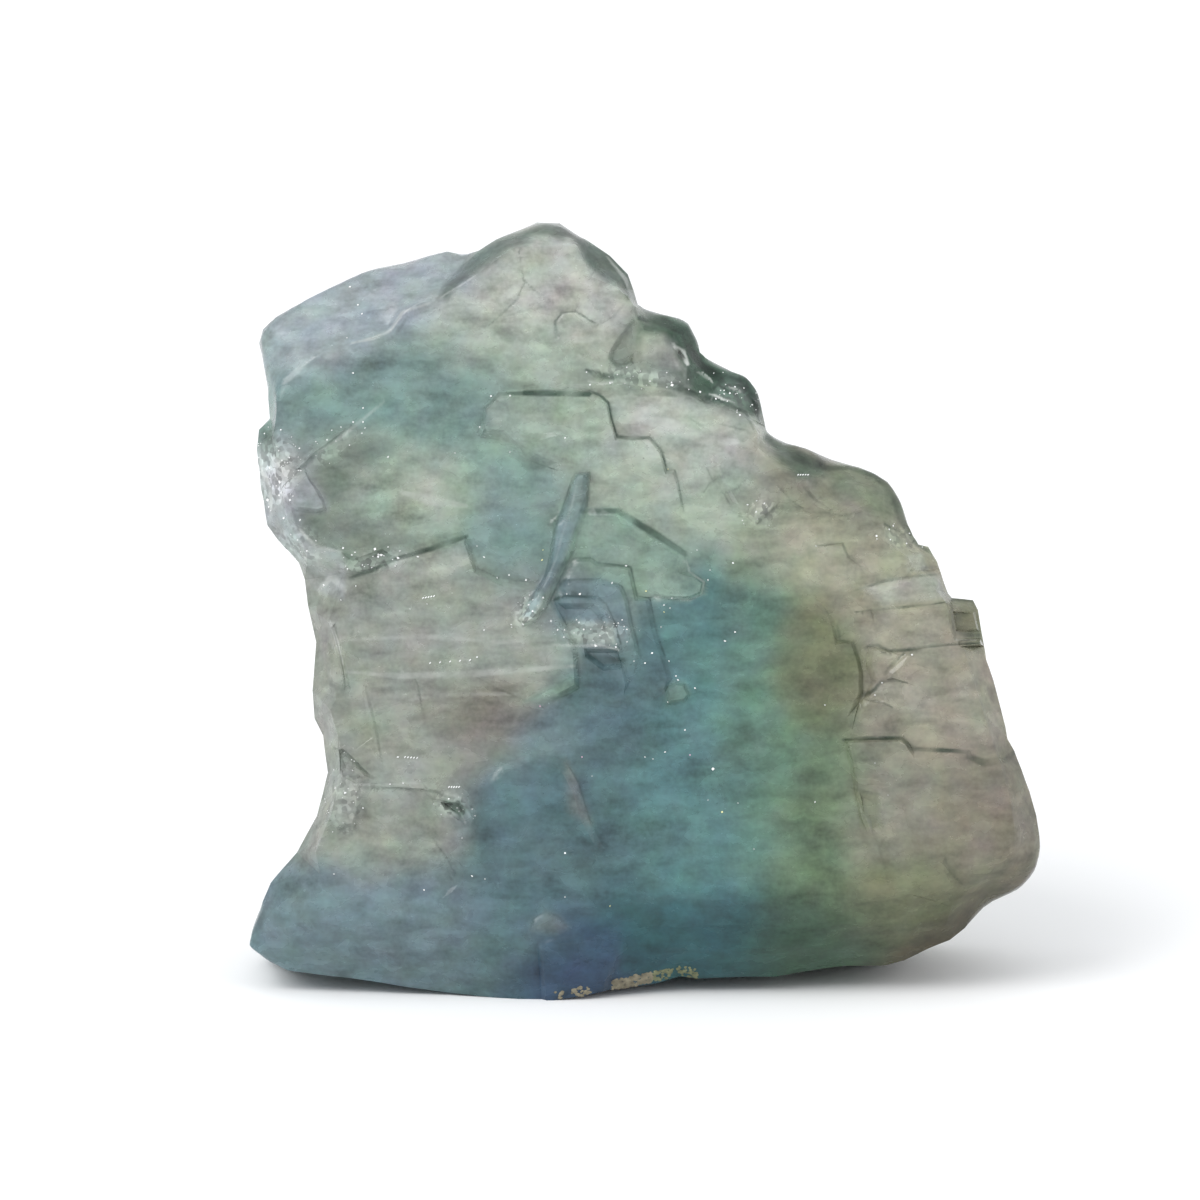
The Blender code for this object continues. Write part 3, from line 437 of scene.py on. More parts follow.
def cut_triangles(triangles, middles):
    """Cuts each triangle at the middles that its sides have, where -1 stands for none."""
    cuts = (middles >= 0).sum(axis=1)
    pieces = [triangles[cuts == 0]]
    for count, first in ((1, middles >= 0), (2, np.roll(middles, 1, axis=1) < 0), (3, middles >= 0)):
        chosen = cuts == count
        turn = (first[chosen].argmax(axis=1)[:, None] + np.arange(3)) % 3
        a, b, c = np.take_along_axis(triangles[chosen], turn, 1).T
        ab, bc, ca = np.take_along_axis(middles[chosen], turn, 1).T
        corners = {
            1: ((a, ab, c), (ab, b, c)),
            2: ((a, ab, bc), (ab, b, bc), (a, bc, c)),
            3: ((a, ab, ca), (ab, b, bc), (ca, bc, c), (ab, bc, ca)),
        }[count]
        pieces += [np.column_stack(corner) for corner in corners]
    return np.vstack(pieces)


def split_finely(places, triangles, crisp):
    """Halves the edges that are too long for their place, again and again. A closed mesh stays closed."""
    for attempt in range(SPLIT_PASSES):
        sides = triangles[:, [[0, 1], [1, 2], [2, 0]]].reshape(-1, 2)
        keys, which = np.unique(edge_keys(sides), return_inverse=True)
        which = which.reshape(-1, 3)
        edges = np.column_stack((keys // KEY_STEP, keys % KEY_STEP))
        starts, ends = places[edges[:, 0]], places[edges[:, 1]]
        first, second, third = places[triangles].transpose(1, 0, 2)
        normals = np.cross(second - first, third - first)
        normals /= np.maximum(np.linalg.norm(normals, axis=1, keepdims=True), 1e-18)
        facing = np.full(len(edges), -1.0)
        np.maximum.at(facing, which.ravel(), np.repeat(normals @ np.array(OUT), 3))
        lengths = np.linalg.norm(ends - starts, axis=1)
        long = lengths > longest_edges((starts + ends) / 2, facing, lengths)
        middles = np.full(len(edges), -1)
        middles[long] = len(places) + np.arange(long.sum())
        places = np.vstack((places, ((starts + ends) / 2)[long]))
        was_crisp = np.isin(keys, crisp)
        halves = np.repeat(edges[long & was_crisp], 2, axis=0).ravel().reshape(-1, 2, 2)
        halves[:, 0, 1] = halves[:, 1, 0] = middles[long & was_crisp]
        crisp = np.concatenate((keys[was_crisp & ~long], edge_keys(halves.reshape(-1, 2))))
        triangles = cut_triangles(triangles, middles[which])
    return places, triangles, crisp


# %% [markdown]
# ## The copy
#
# The solid's mesh is copied, its doubled points are welded, and edges that bend sharply are remembered, so
# that they stay crisp after splitting. The last line counts open edges, because light is only absorbed
# inside a mesh that is closed.

# %% Copy the solid and split it
CREASE = math.radians(14)
WELD = 1e-7
shape = bmesh.new()
shape.from_mesh(solid)
bmesh.ops.remove_doubles(shape, verts=shape.verts, dist=WELD)
bmesh.ops.triangulate(shape, faces=shape.faces)
shape.verts.index_update()
places = np.array([point.co[:] for point in shape.verts])
triangles = np.array([[point.index for point in face.verts] for face in shape.faces])
crisp = np.array([[point.index for point in edge.verts] for edge in shape.edges
                  if edge.calc_face_angle(0) >= CREASE])
shape.free()
places, triangles, crisp = split_finely(places, triangles, edge_keys(crisp))

fine = bpy.data.meshes.new("crystal")
fine.from_pydata(places.tolist(), [], triangles.tolist())
fine.shade_smooth()
sharp = np.isin(edge_keys(np.array([edge.vertices[:] for edge in fine.edges])), crisp)
fine.attributes.new("sharp_edge", "BOOLEAN", "EDGE").data.foreach_set("value", sharp)
sides = triangles[:, [[0, 1], [1, 2], [2, 0]]].reshape(-1, 2)
sides_used = np.unique(edge_keys(sides), return_counts=True)[1]
print("crystal has", len(fine.polygons), "triangles,", int((sides_used != 2).sum()), "open edges;",
      "faults found:", fine.validate())

# %% [markdown]
# ## Worn corners
#
# Water and handling have rounded the lobes of the upper right edge and the top left corner, and one long step
# has almost healed over. A bevel can't follow such a worn shape, so the points there are pulled, again and
# again, towards the mean of their neighbours. The strength fades out around each place, and the rest stays.
# One thin spike of the solid, low at the back, is worn down in the same way.

# %% Soften the worn places
# Middle and half sizes in pixels, turn in degrees, strength from 0 to 1.
WORN = {
    "top left corner": (400, 290, 90, 60, -20, 0.7),
    "left corner": (280, 345, 40, 60, 0, 0.6),
    "cap": (548, 228, 45, 22, 0, 0.6),
    "near lobe": (662, 335, 44, 34, 20, 1.0),
    "far lobe": (728, 392, 50, 40, 20, 1.0),
    "shoulder lobe": (800, 452, 46, 30, 20, 1.0),
    "between the lobes": (682, 360, 18, 18, 0, 1.0),
    "shoulder": (870, 486, 60, 40, 35, 0.9),
    "toe": (262, 940, 40, 40, 0, 0.6),
    "right foot": (1000, 880, 60, 60, 0, 0.6),
    "foot block": (585, 935, 66, 46, 0, 0.9),
    "lath": (560, 545, 26, 80, 18, 0.35),
}
HEALED_STEP = [(546, 706, 14), (500, 740, 16), (478, 785, 16), (471, 850, 14)]
WORN_ROUNDS = 16
WORN_RIM = 0.5
HEALED_CORE = 1.5
BEHIND = 0.5
WORN_FLOOR_FADE = 0.002
WORN_RATE = 0.6
WORN_POINT = (0.0213, 0.0057, 0.0053)
WORN_POINT_REACH = 0.0032
WORN_POINT_PULL = 0.0020
WORN_POINT_RATE = 0.8
LONGEST_PULL = 0.0007


def numbers(collection, field, width):
    values = np.empty(len(collection) * width)
    collection.foreach_get(field, values)
    return values.reshape(-1, width)


def soften(places, pairs, strength):
    """Moves each point towards the mean of its neighbours, as far as its strength says."""
    first, second = pairs.T
    neighbours = np.bincount(first, minlength=len(places)) + np.bincount(second, minlength=len(places))
    for turn in range(WORN_ROUNDS):
        sums = np.zeros_like(places)
        for axis in range(3):
            sums[:, axis] = np.bincount(first, places[second, axis], len(places))
            sums[:, axis] += np.bincount(second, places[first, axis], len(places))
        places = places + (sums / neighbours[:, None] - places) * strength[:, None]
    return places


places = numbers(fine.vertices, "co", 3)
pairs = numbers(fine.edges, "vertices", 2).astype(int)
spots = picture_places(places, eye, lens)
facing = numbers(fine.vertices, "normal", 3) @ np.array(OUT)
worn = np.max([
    rate * smooth((1 - ellipse_distance(spots, *ellipse)) / WORN_RIM) for *ellipse, rate in WORN.values()
], axis=0)
worn = np.maximum(worn, smooth(line_shares(spots, HEALED_STEP) * HEALED_CORE))
worn *= np.clip((facing + BEHIND) / BEHIND, 0, 1) * np.clip(places[:, 2] / WORN_FLOOR_FADE, 0, 1) * WORN_RATE
tip = smooth(1.5 - 1.5 * np.linalg.norm(places - WORN_POINT, axis=1) / WORN_POINT_REACH)
worn = np.maximum(worn, tip * WORN_POINT_RATE)
pulled = soften(places, pairs, worn) - places
length = np.linalg.norm(pulled, axis=1, keepdims=True)
longest = LONGEST_PULL + WORN_POINT_PULL * tip[:, None]
places = places + pulled * np.minimum(1, longest / np.maximum(length, 1e-9))
fine.vertices.foreach_set("co", places.ravel())
sharp = sharp * (worn[pairs].max(axis=1) < 0.1)
fine.edges.foreach_set("use_edge_sharp", sharp.astype(bool))
fine.update()
print("softened points:", int((worn > 0).sum()), "longest pull, mm:", round(length.max() * 1000, 2))

# %% [markdown]
# ## Relief
#
# Growth faces are smooth but not flat, and broken places are hackly. The relief could be left to a bump map,
# but then it would vanish from the outline and from the mesh itself, so the points are really moved: by a
# slow swell everywhere, by a rough noise where the crystal is frosty, and inwards along the cracks. Points
# are only moved inwards or by a hair, so that the stone keeps its size.

# %% Move the points
SWELL = 0.00006
SWELL_LENGTH = 0.0035
RIPPLE = 0.000022
RIPPLE_LENGTH = 0.0012
HACKLE = 0.00016
HACKLE_LENGTH = 0.0007
FLOOR_FADE = 0.0006
PATCHY_LENGTH = 0.0011
PATCHY_MIDDLE, PATCHY_SPREAD = 0.85, 1.1
PATCHY_RANGE = 0.5, 1.2
SHADED_FACING, CARVED_FACING = -0.3, 0.1


def noise_at(places, length, seed, stretch=(1, 1, 1)):
    """Smooth noise from -1 to 1, whose lumps are about as long as given."""
    shift = Vector((seed, seed * 1.7, seed * 2.3))
    scaled = places / length / np.array(stretch)
    return np.array([noise.noise(Vector(place) + shift) for place in scaled])


count = len(fine.vertices)
places = numbers(fine.vertices, "co", 3)
normals = numbers(fine.vertices, "normal", 3)
spots = picture_places(places, eye, lens)
facing = normals @ np.array(OUT)
frosty = frost_shares(spots) * (facing > 0)
carved = np.zeros(count)
tone = np.zeros(count)
patchy = np.clip(PATCHY_MIDDLE + PATCHY_SPREAD * noise_at(places, PATCHY_LENGTH, 47), *PATCHY_RANGE)
# Dark tone is the cracks' own colour and painted shade along step edges and rims; bright tone is the veils' own
# pale and painted highlights.
for strength, depth, points in LINES.values():
    share = smooth(line_shares(spots, points) * LINE_CORE) * (facing > SHADED_FACING)
    carved = np.maximum(carved, share * (facing > CARVED_FACING) * depth / 1000)
    tone = np.where(share * abs(strength) > abs(tone), share * strength, tone)
tone *= patchy
moved = noise_at(places, SWELL_LENGTH, 3) * SWELL + noise_at(places, RIPPLE_LENGTH, 5, (2.5, 1, 1)) * RIPPLE
moved += noise_at(places, HACKLE_LENGTH, 11) * HACKLE * frosty - carved
moved *= np.clip(places[:, 2] / FLOOR_FADE, 0, 1)
moved_places = places + normals * moved[:, None]
moved_places = np.clip(moved_places, np.array(low), np.array(high))
fine.vertices.foreach_set("co", moved_places.ravel())
fine.update()
print("relief, mm:", round(moved.min() * 1000, 3), "to", round(moved.max() * 1000, 3))

crystal = bpy.data.objects.new("crystal", fine)
bpy.context.scene.collection.objects.link(crystal)

# %% [markdown]
# ## Growth colours, with painted shade and light
#
# The colour of barite sits in zones, left by the water it grew from. Here the blue of the left and the foot
# turns through teal and green to olive and a pinkish grey on the right. The zones are volumes: each is worked
# out from a point's place as a soft shape seen from the front, and so it runs through the stone to its back.
# Painting an image would be the other way, but it would need an unwrapped mesh. Some zones and patches
# also carry painted light: shade on the peak's bevels, the upper right rims, the foot and the lower right
# rim, a painted reflection on the pale blue upper left corner, and painted light through the peak.

# %% Name the colours
PALETTE = {
    "frost blue and painted reflection": (150, 160, 165),
    "frost white": (160, 165, 165),
    "pearl": (175, 180, 170),
    "pearl grey": (155, 165, 150),
    "mist": (150, 165, 150),
    "smoke": (125, 135, 125),
    "plate": (145, 150, 140),
    "rose grey": (150, 145, 130),
    "umber": (125, 120, 110),
    "rose dun": (125, 120, 105),
    "dun": (130, 130, 115),
    "straw": (155, 155, 135),
    "olive": (100, 105, 80),
    "shaded bark brown": (65, 60, 45),
    "shaded bottle green": (45, 65, 55),
    "dark green and painted shade": (50, 75, 60),
    "moss": (95, 115, 90),
    "sea green": (90, 120, 105),
    "mint": (130, 155, 140),
    "bay teal": (115, 140, 135),
    "deep teal": (80, 115, 115),
    "slate": (100, 120, 125),
    "storm": (75, 100, 105),
    "navy": (50, 70, 90),
    "petrol": (40, 75, 80),
}
print(len(PALETTE), "colours")

# %% [markdown]
# ## Where each colour lies
#
# Each zone is a turned ellipse. A place takes the colours of all zones by how near it is to them, so they
# melt into each other. Plates and bevels that have a firm edge in the stone are outlined instead. A slow
# noise bends both, because nothing that grew has a ruler's edge.

# %% Lay out the zones
# Name: colour, then middle and half sizes in pixels and turn in degrees.
ZONES = {
    # The pale blue of the upper left corner and ridge is partly the frost's colour and partly a painted
    # reflection of the light from the upper left.
    "corner": ("frost blue and painted reflection", 330, 325, 75, 45, -28),
    "ridge": ("frost blue and painted reflection", 420, 280, 60, 30, -22),
    # The peak's pale pearl is partly the stone's milky colour and partly painted light shining through from
    # behind.
    "peak": ("pearl", 545, 295, 85, 50, 0),
    "peak foot": ("pearl grey", 545, 355, 75, 25, 0),
    # The lobes' dark green is partly the stone's own green and partly painted shade on rims that face up and
    # right.
    "near lobe": ("dark green and painted shade", 664, 338, 32, 28, 20),
    "left shoulder": ("bay teal", 296, 410, 40, 40, 0),
    "shoulder": ("bay teal", 370, 385, 60, 36, -20),
    "bay": ("bay teal", 460, 400, 55, 45, 0),
    "plate top": ("mist", 550, 425, 52, 34, 0),
    "broken ledge": ("smoke", 636, 376, 56, 12, 5),
    "far lobes": ("dark green and painted shade", 722, 388, 40, 20, 15),
    "right pearl": ("pearl", 690, 432, 66, 36, 15),
    "left chips": ("frost white", 280, 480, 28, 48, 0),
    "left grey": ("smoke", 335, 470, 36, 34, 0),
    "mist": ("mist", 415, 490, 70, 38, 5),
    "lower mist": ("smoke", 350, 535, 50, 24, 0),
    "below the bay": ("bay teal", 512, 510, 45, 66, 0),
    "middle pearl": ("pearl grey", 660, 500, 80, 42, 10),
    "green shelf": ("dun", 820, 490, 70, 30, 22),
    "lime": ("straw", 810, 548, 66, 34, 0),
    "straw": ("straw", 905, 605, 58, 44, 0),
    "block": ("olive", 964, 618, 14, 26, 0),
    "nest plate": ("mint", 636, 556, 44, 34, 10),
    "nest": ("slate", 588, 610, 34, 30, 0),
    "below the nest": ("storm", 610, 685, 36, 28, 0),
    "teal": ("deep teal", 700, 640, 44, 80, 0),
    "green by the olive": ("sea green", 762, 650, 32, 84, 0),
    "olive": ("olive", 820, 660, 38, 55, 0),
    "rose": ("rose grey", 935, 690, 62, 46, 0),
    "plate": ("plate", 440, 625, 115, 48, 0),
    "plate low": ("plate", 390, 735, 58, 50, 0),
    "umber": ("umber", 474, 726, 46, 34, 0),
    "drift": ("slate", 540, 742, 48, 26, -15),
    "blue below": ("storm", 612, 740, 44, 36, 0),
    "sea": ("deep teal", 695, 815, 58, 80, 0),
    "green": ("sea green", 760, 765, 36, 80, 0),
    "moss": ("moss", 812, 820, 42, 80, 0),
    "corner dun": ("dun", 888, 805, 42, 52, 0),
    "rose dun": ("rose dun", 978, 815, 46, 52, 0),
    # The dark zones of the foot and the lower right rim below are partly the stone's own deep blue, olive and
    # brown, and partly painted shade where the lower edge turns under, away from the light.
    "right foot": ("olive", 905, 900, 70, 36, -15),
    "rim": ("shaded bark brown", 965, 925, 75, 24, -28),
    "foot beige": ("plate", 385, 825, 62, 44, 0),
    "storm": ("storm", 545, 830, 68, 62, 0),
    "foot slate": ("slate", 370, 915, 105, 42, 0),
    "right slate": ("storm", 510, 920, 48, 38, 0),
    "navy": ("navy", 580, 955, 44, 36, 0),
    "petrol": ("petrol", 690, 930, 76, 40, 0),
    "green foot": ("dark green and painted shade", 815, 936, 58, 36, -5),
}

# Plates and patches with a firm edge: colour, softness of the edge in pixels, strength, outline in pixels.
PATCHES = {
    # The peak's two bevels: the stone's green, darkened by painted shade.
    "peak left bevel shade": ("shaded bottle green", 4, 0.75, [
        (437, 298), (446, 283), (471, 257), (500, 241), (528, 229), (545, 220), (568, 222), (576, 234),
        (560, 240), (546, 236), (528, 243), (512, 248), (497, 259), (480, 269), (462, 285), (447, 299)]),
    "cap light": ("pearl", 3, 0.45, [(523, 241), (534, 234), (548, 234), (552, 240), (536, 243)]),
    "peak right bevel shade": ("shaded bottle green", 4, 0.85, [
        (568, 232), (583, 238), (618, 256), (631, 276), (637, 299), (627, 299), (618, 287), (595, 274),
        (586, 264), (579, 250)]),
    "hollow": ("smoke", 4, 0.8, [(637, 319), (619, 338), (608, 361), (624, 369), (636, 352)]),
    "top plate": ("mist", 5, 0.5, [
        (485, 407), (500, 391), (596, 390), (609, 402), (617, 437), (640, 440), (600, 470), (553, 460),
        (500, 441)]),
    "flake shadow": ("dark green and painted shade", 5, 0.6, [(258, 424), (276, 436), (279, 458), (262, 452)]),
    "flake": ("frost white", 4, 0.8, [(284, 488), (307, 469), (327, 502), (329, 511), (300, 512)]),
    "mist shadow": ("dark green and painted shade", 9, 0.3, [
        (309, 463), (330, 450), (362, 440), (396, 446), (378, 468), (350, 478), (338, 500), (346, 526),
        (392, 538), (360, 548), (318, 540), (302, 528), (300, 515), (318, 516), (329, 510), (322, 490)]),
    "light mist": ("pearl grey", 12, 0.6, [
        (346, 470), (380, 466), (402, 480), (440, 470), (470, 500), (452, 522), (410, 508), (370, 492)]),
    "left frost": ("frost white", 4, 0.7, [
        (263, 462), (284, 480), (300, 512), (301, 530), (316, 546), (340, 552), (346, 575), (344, 600),
        (312, 588), (300, 560), (284, 545), (268, 520)]),
    # Painted shadow among the rubble.
    "rubble": ("dark green and painted shade", 5, 0.5, [
        (343, 552), (362, 558), (384, 548), (398, 556), (394, 566), (352, 580)]),
    "light below the edge": ("pearl", 8, 0.5, [(400, 566), (462, 543), (476, 566), (430, 580)]),
    "nest plate": ("mint", 4, 0.9, [
        (578, 517), (587, 508), (618, 508), (684, 551), (687, 572), (705, 582), (703, 594), (690, 600),
        (636, 598), (631, 567), (597, 560), (566, 560), (570, 545)]),
    "nest band": ("slate", 3, 0.6, [
        (556, 590), (564, 580), (600, 578), (622, 586), (628, 640), (606, 602), (560, 597)]),
    "nest ink": ("slate", 4, 0.9, [(552, 602), (562, 597), (600, 598), (610, 622), (560, 620)]),
    "nest brown": ("smoke", 4, 0.7, [(560, 621), (610, 622), (616, 642), (572, 644)]),
    "nest shade": ("storm", 6, 0.6, [(582, 652), (620, 652), (630, 690), (600, 692), (584, 680)]),
    "wedge": ("storm", 5, 0.6, [(636, 600), (650, 598), (672, 678), (668, 694), (646, 694)]),
    "small facet": ("mint", 3, 0.4, [(664, 688), (674, 681), (685, 683), (690, 694), (684, 702), (668, 704)]),
    "lath": ("slate", 3, 0.7, [
        (576, 474), (588, 474), (585, 505), (556, 575), (533, 618), (522, 616), (550, 560), (558, 520)]),
    "facet": ("mint", 6, 0.6, [(525, 702), (572, 676), (578, 688), (548, 704)]),
    "pale wedge": ("plate", 7, 0.7, [(566, 762), (576, 784), (590, 822), (570, 812)]),
    "storm edge": ("storm", 8, 0.5, [
        (482, 790), (500, 766), (560, 758), (579, 784), (604, 848), (540, 880), (478, 860)]),
    "lens": ("plate", 6, 0.2, [(531, 931), (534, 918), (545, 911), (557, 915), (568, 927), (556, 933)]),
    "navy block": ("navy", 16, 0.2, [
        (537, 938), (575, 932), (622, 925), (622, 980), (600, 1005), (538, 1005)]),
    "petrol patch": ("petrol", 6, 0.5, [(622, 905), (700, 900), (720, 940), (690, 972), (622, 972)]),
    "olive": ("olive", 14, 0.6, [
        (785, 612), (803, 594), (822, 604), (834, 622), (840, 644), (856, 656), (862, 692), (838, 724),
        (790, 724), (768, 680)]),
    "quad": ("pearl", 3, 0.6, [(905, 556), (922, 554), (928, 570), (908, 571)]),
    "pale band": ("pearl", 4, 0.5, [(862, 589), (887, 580), (906, 578), (940, 574), (944, 598), (884, 606)]),
    "pale plate": ("rose grey", 5, 0.5, [(856, 616), (945, 606), (951, 640), (890, 646)]),
    "right pit": ("olive", 4, 0.6, [(853, 790), (878, 792), (883, 830), (861, 827)]),
    "lobe inside": ("pearl", 6, 0.7, [
        (642, 334), (664, 334), (676, 350), (684, 368), (660, 366), (640, 360)]),
    # The far lobe and the shoulder lobe: the stone's green with painted shade on rims that face up and right.
    "far lobe dark": ("dark green and painted shade", 5, 0.8, [
        (690, 370), (716, 370), (744, 373), (757, 386), (763, 412), (752, 416), (730, 408), (706, 402),
        (690, 392)]),
    "shoulder lobe": ("dark green and painted shade", 7, 0.7, [
        (766, 436), (795, 446), (822, 462), (826, 476), (798, 480), (778, 464)]),
    "shoulder dark": ("moss", 8, 0.5, [
        (828, 468), (862, 466), (892, 482), (904, 512), (884, 520), (860, 500), (832, 492)]),
    "pit": ("dark green and painted shade", 3, 0.8, [(443, 800), (461, 801), (468, 810), (462, 818), (450, 812)]),
}
ZONE_FALL = 1.3
FAINTEST = 1e-12
ZONE_WARP = 9
ZONE_WARP_LENGTH = 0.003
PATCH_WARP = 2.5
PATCH_WARP_LENGTH = 0.0015


def linear(colour):
    """A screen colour from 0 to 255 as the light it stands for."""
    value = np.array(colour) / 255
    return np.where(value <= 0.04045, value / 12.92, ((value + 0.055) / 1.055) ** 2.4)


def patch_shares(spots, outline, soft):
    """1 inside an outline and 0 outside, with a soft edge."""
    inside = np.zeros(len(spots), bool)
    nearest = np.full(len(spots), np.inf)
    x, y = spots.T
    for (x0, y0), (x1, y1) in zip(outline, outline[1:] + outline[:1]):
        nearest = np.minimum(nearest, segment_gap(spots, (x0, y0), (x1, y1))[0])
        if y0 != y1:
            inside ^= ((y0 > y) != (y1 > y)) & (x < x0 + (y - y0) * (x1 - x0) / (y1 - y0))
    return smooth(0.5 + np.where(inside, nearest, -nearest) / soft / 2)


def warped(spots, places, amount, length, seed):
    drift = [noise_at(places, length, seed), noise_at(places, length, seed + 16)]
    return spots + np.column_stack(drift) * amount


def zone_weights(spots, x, y, half_width, half_height, turn):
    """How strongly a zone counts at each spot: most in its middle, fading over its half sizes."""
    return np.exp(-ZONE_FALL * ellipse_distance(spots, x, y, half_width, half_height, turn) ** 2) + FAINTEST


def stone_colours_with_painted_light(places):
    """The colour of the stone at each place, painted shade and light included."""
    spots = picture_places(places, eye, lens)
    drifted = warped(spots, places, ZONE_WARP, ZONE_WARP_LENGTH, 21)
    mixed, total = np.zeros((len(places), 3)), np.zeros((len(places), 1))
    for name, *ellipse in ZONES.values():
        weight = zone_weights(drifted, *ellipse)[:, None]
        mixed += linear(PALETTE[name]) * weight
        total += weight
    colours = mixed / total
    drifted = warped(spots, places, PATCH_WARP, PATCH_WARP_LENGTH, 61)
    for name, soft, strength, outline in PATCHES.values():
        share = patch_shares(drifted, outline, soft)[:, None] * strength
        colours += (linear(PALETTE[name]) - colours) * share
    return colours


def store(mesh, name, kind, field, values):
    layer = mesh.attributes.new(name, kind, "POINT")
    layer.data.foreach_set(field, np.asarray(values, np.float32).ravel())


colours = stone_colours_with_painted_light(places)
# These colours carry the growth zones together with painted shade, reflection and light.
store(fine, "growth colour", "FLOAT_COLOR", "color", np.column_stack((colours, np.ones(count))))
store(fine, "frost", "FLOAT", "value", frosty)
store(fine, "cracks and painted shade", "FLOAT", "value", np.clip(-tone, 0, 1))
store(fine, "veils and painted highlights", "FLOAT", "value", np.clip(tone, 0, 1))
print("growth zones:", len(ZONES), "and", len(PATCHES), "patches")
print("mean colour:", np.round(colours.mean(axis=0), 3))

# %% [markdown]
# ## The stone itself
#
# Barite of this kind is neither clear nor opaque: light goes in, is tinted by the zones, and comes back from
# veils and from the far side. One shader does it: part of the light is let through, with barite's high
# refractive index and a little absorption inside, and the rest is scattered back in the zone's colour. Noise
# breaks up the zones into clouds and into fine streaks along the growth layers. Frost whitens and dulls the
# broken places. Cracks are dark in their own colour. Step edges and rims get painted shade, standing in for
# the light that enters there and leaves at another side, and a few edges get painted highlights.

# %% Mix the stone's shader
BARITE_IOR = 1.636
CLOUDS = 230
WISPS = 800
STREAKS = 1500
GRAIN = 3600
TINTS = 520
FLAKES = 3200


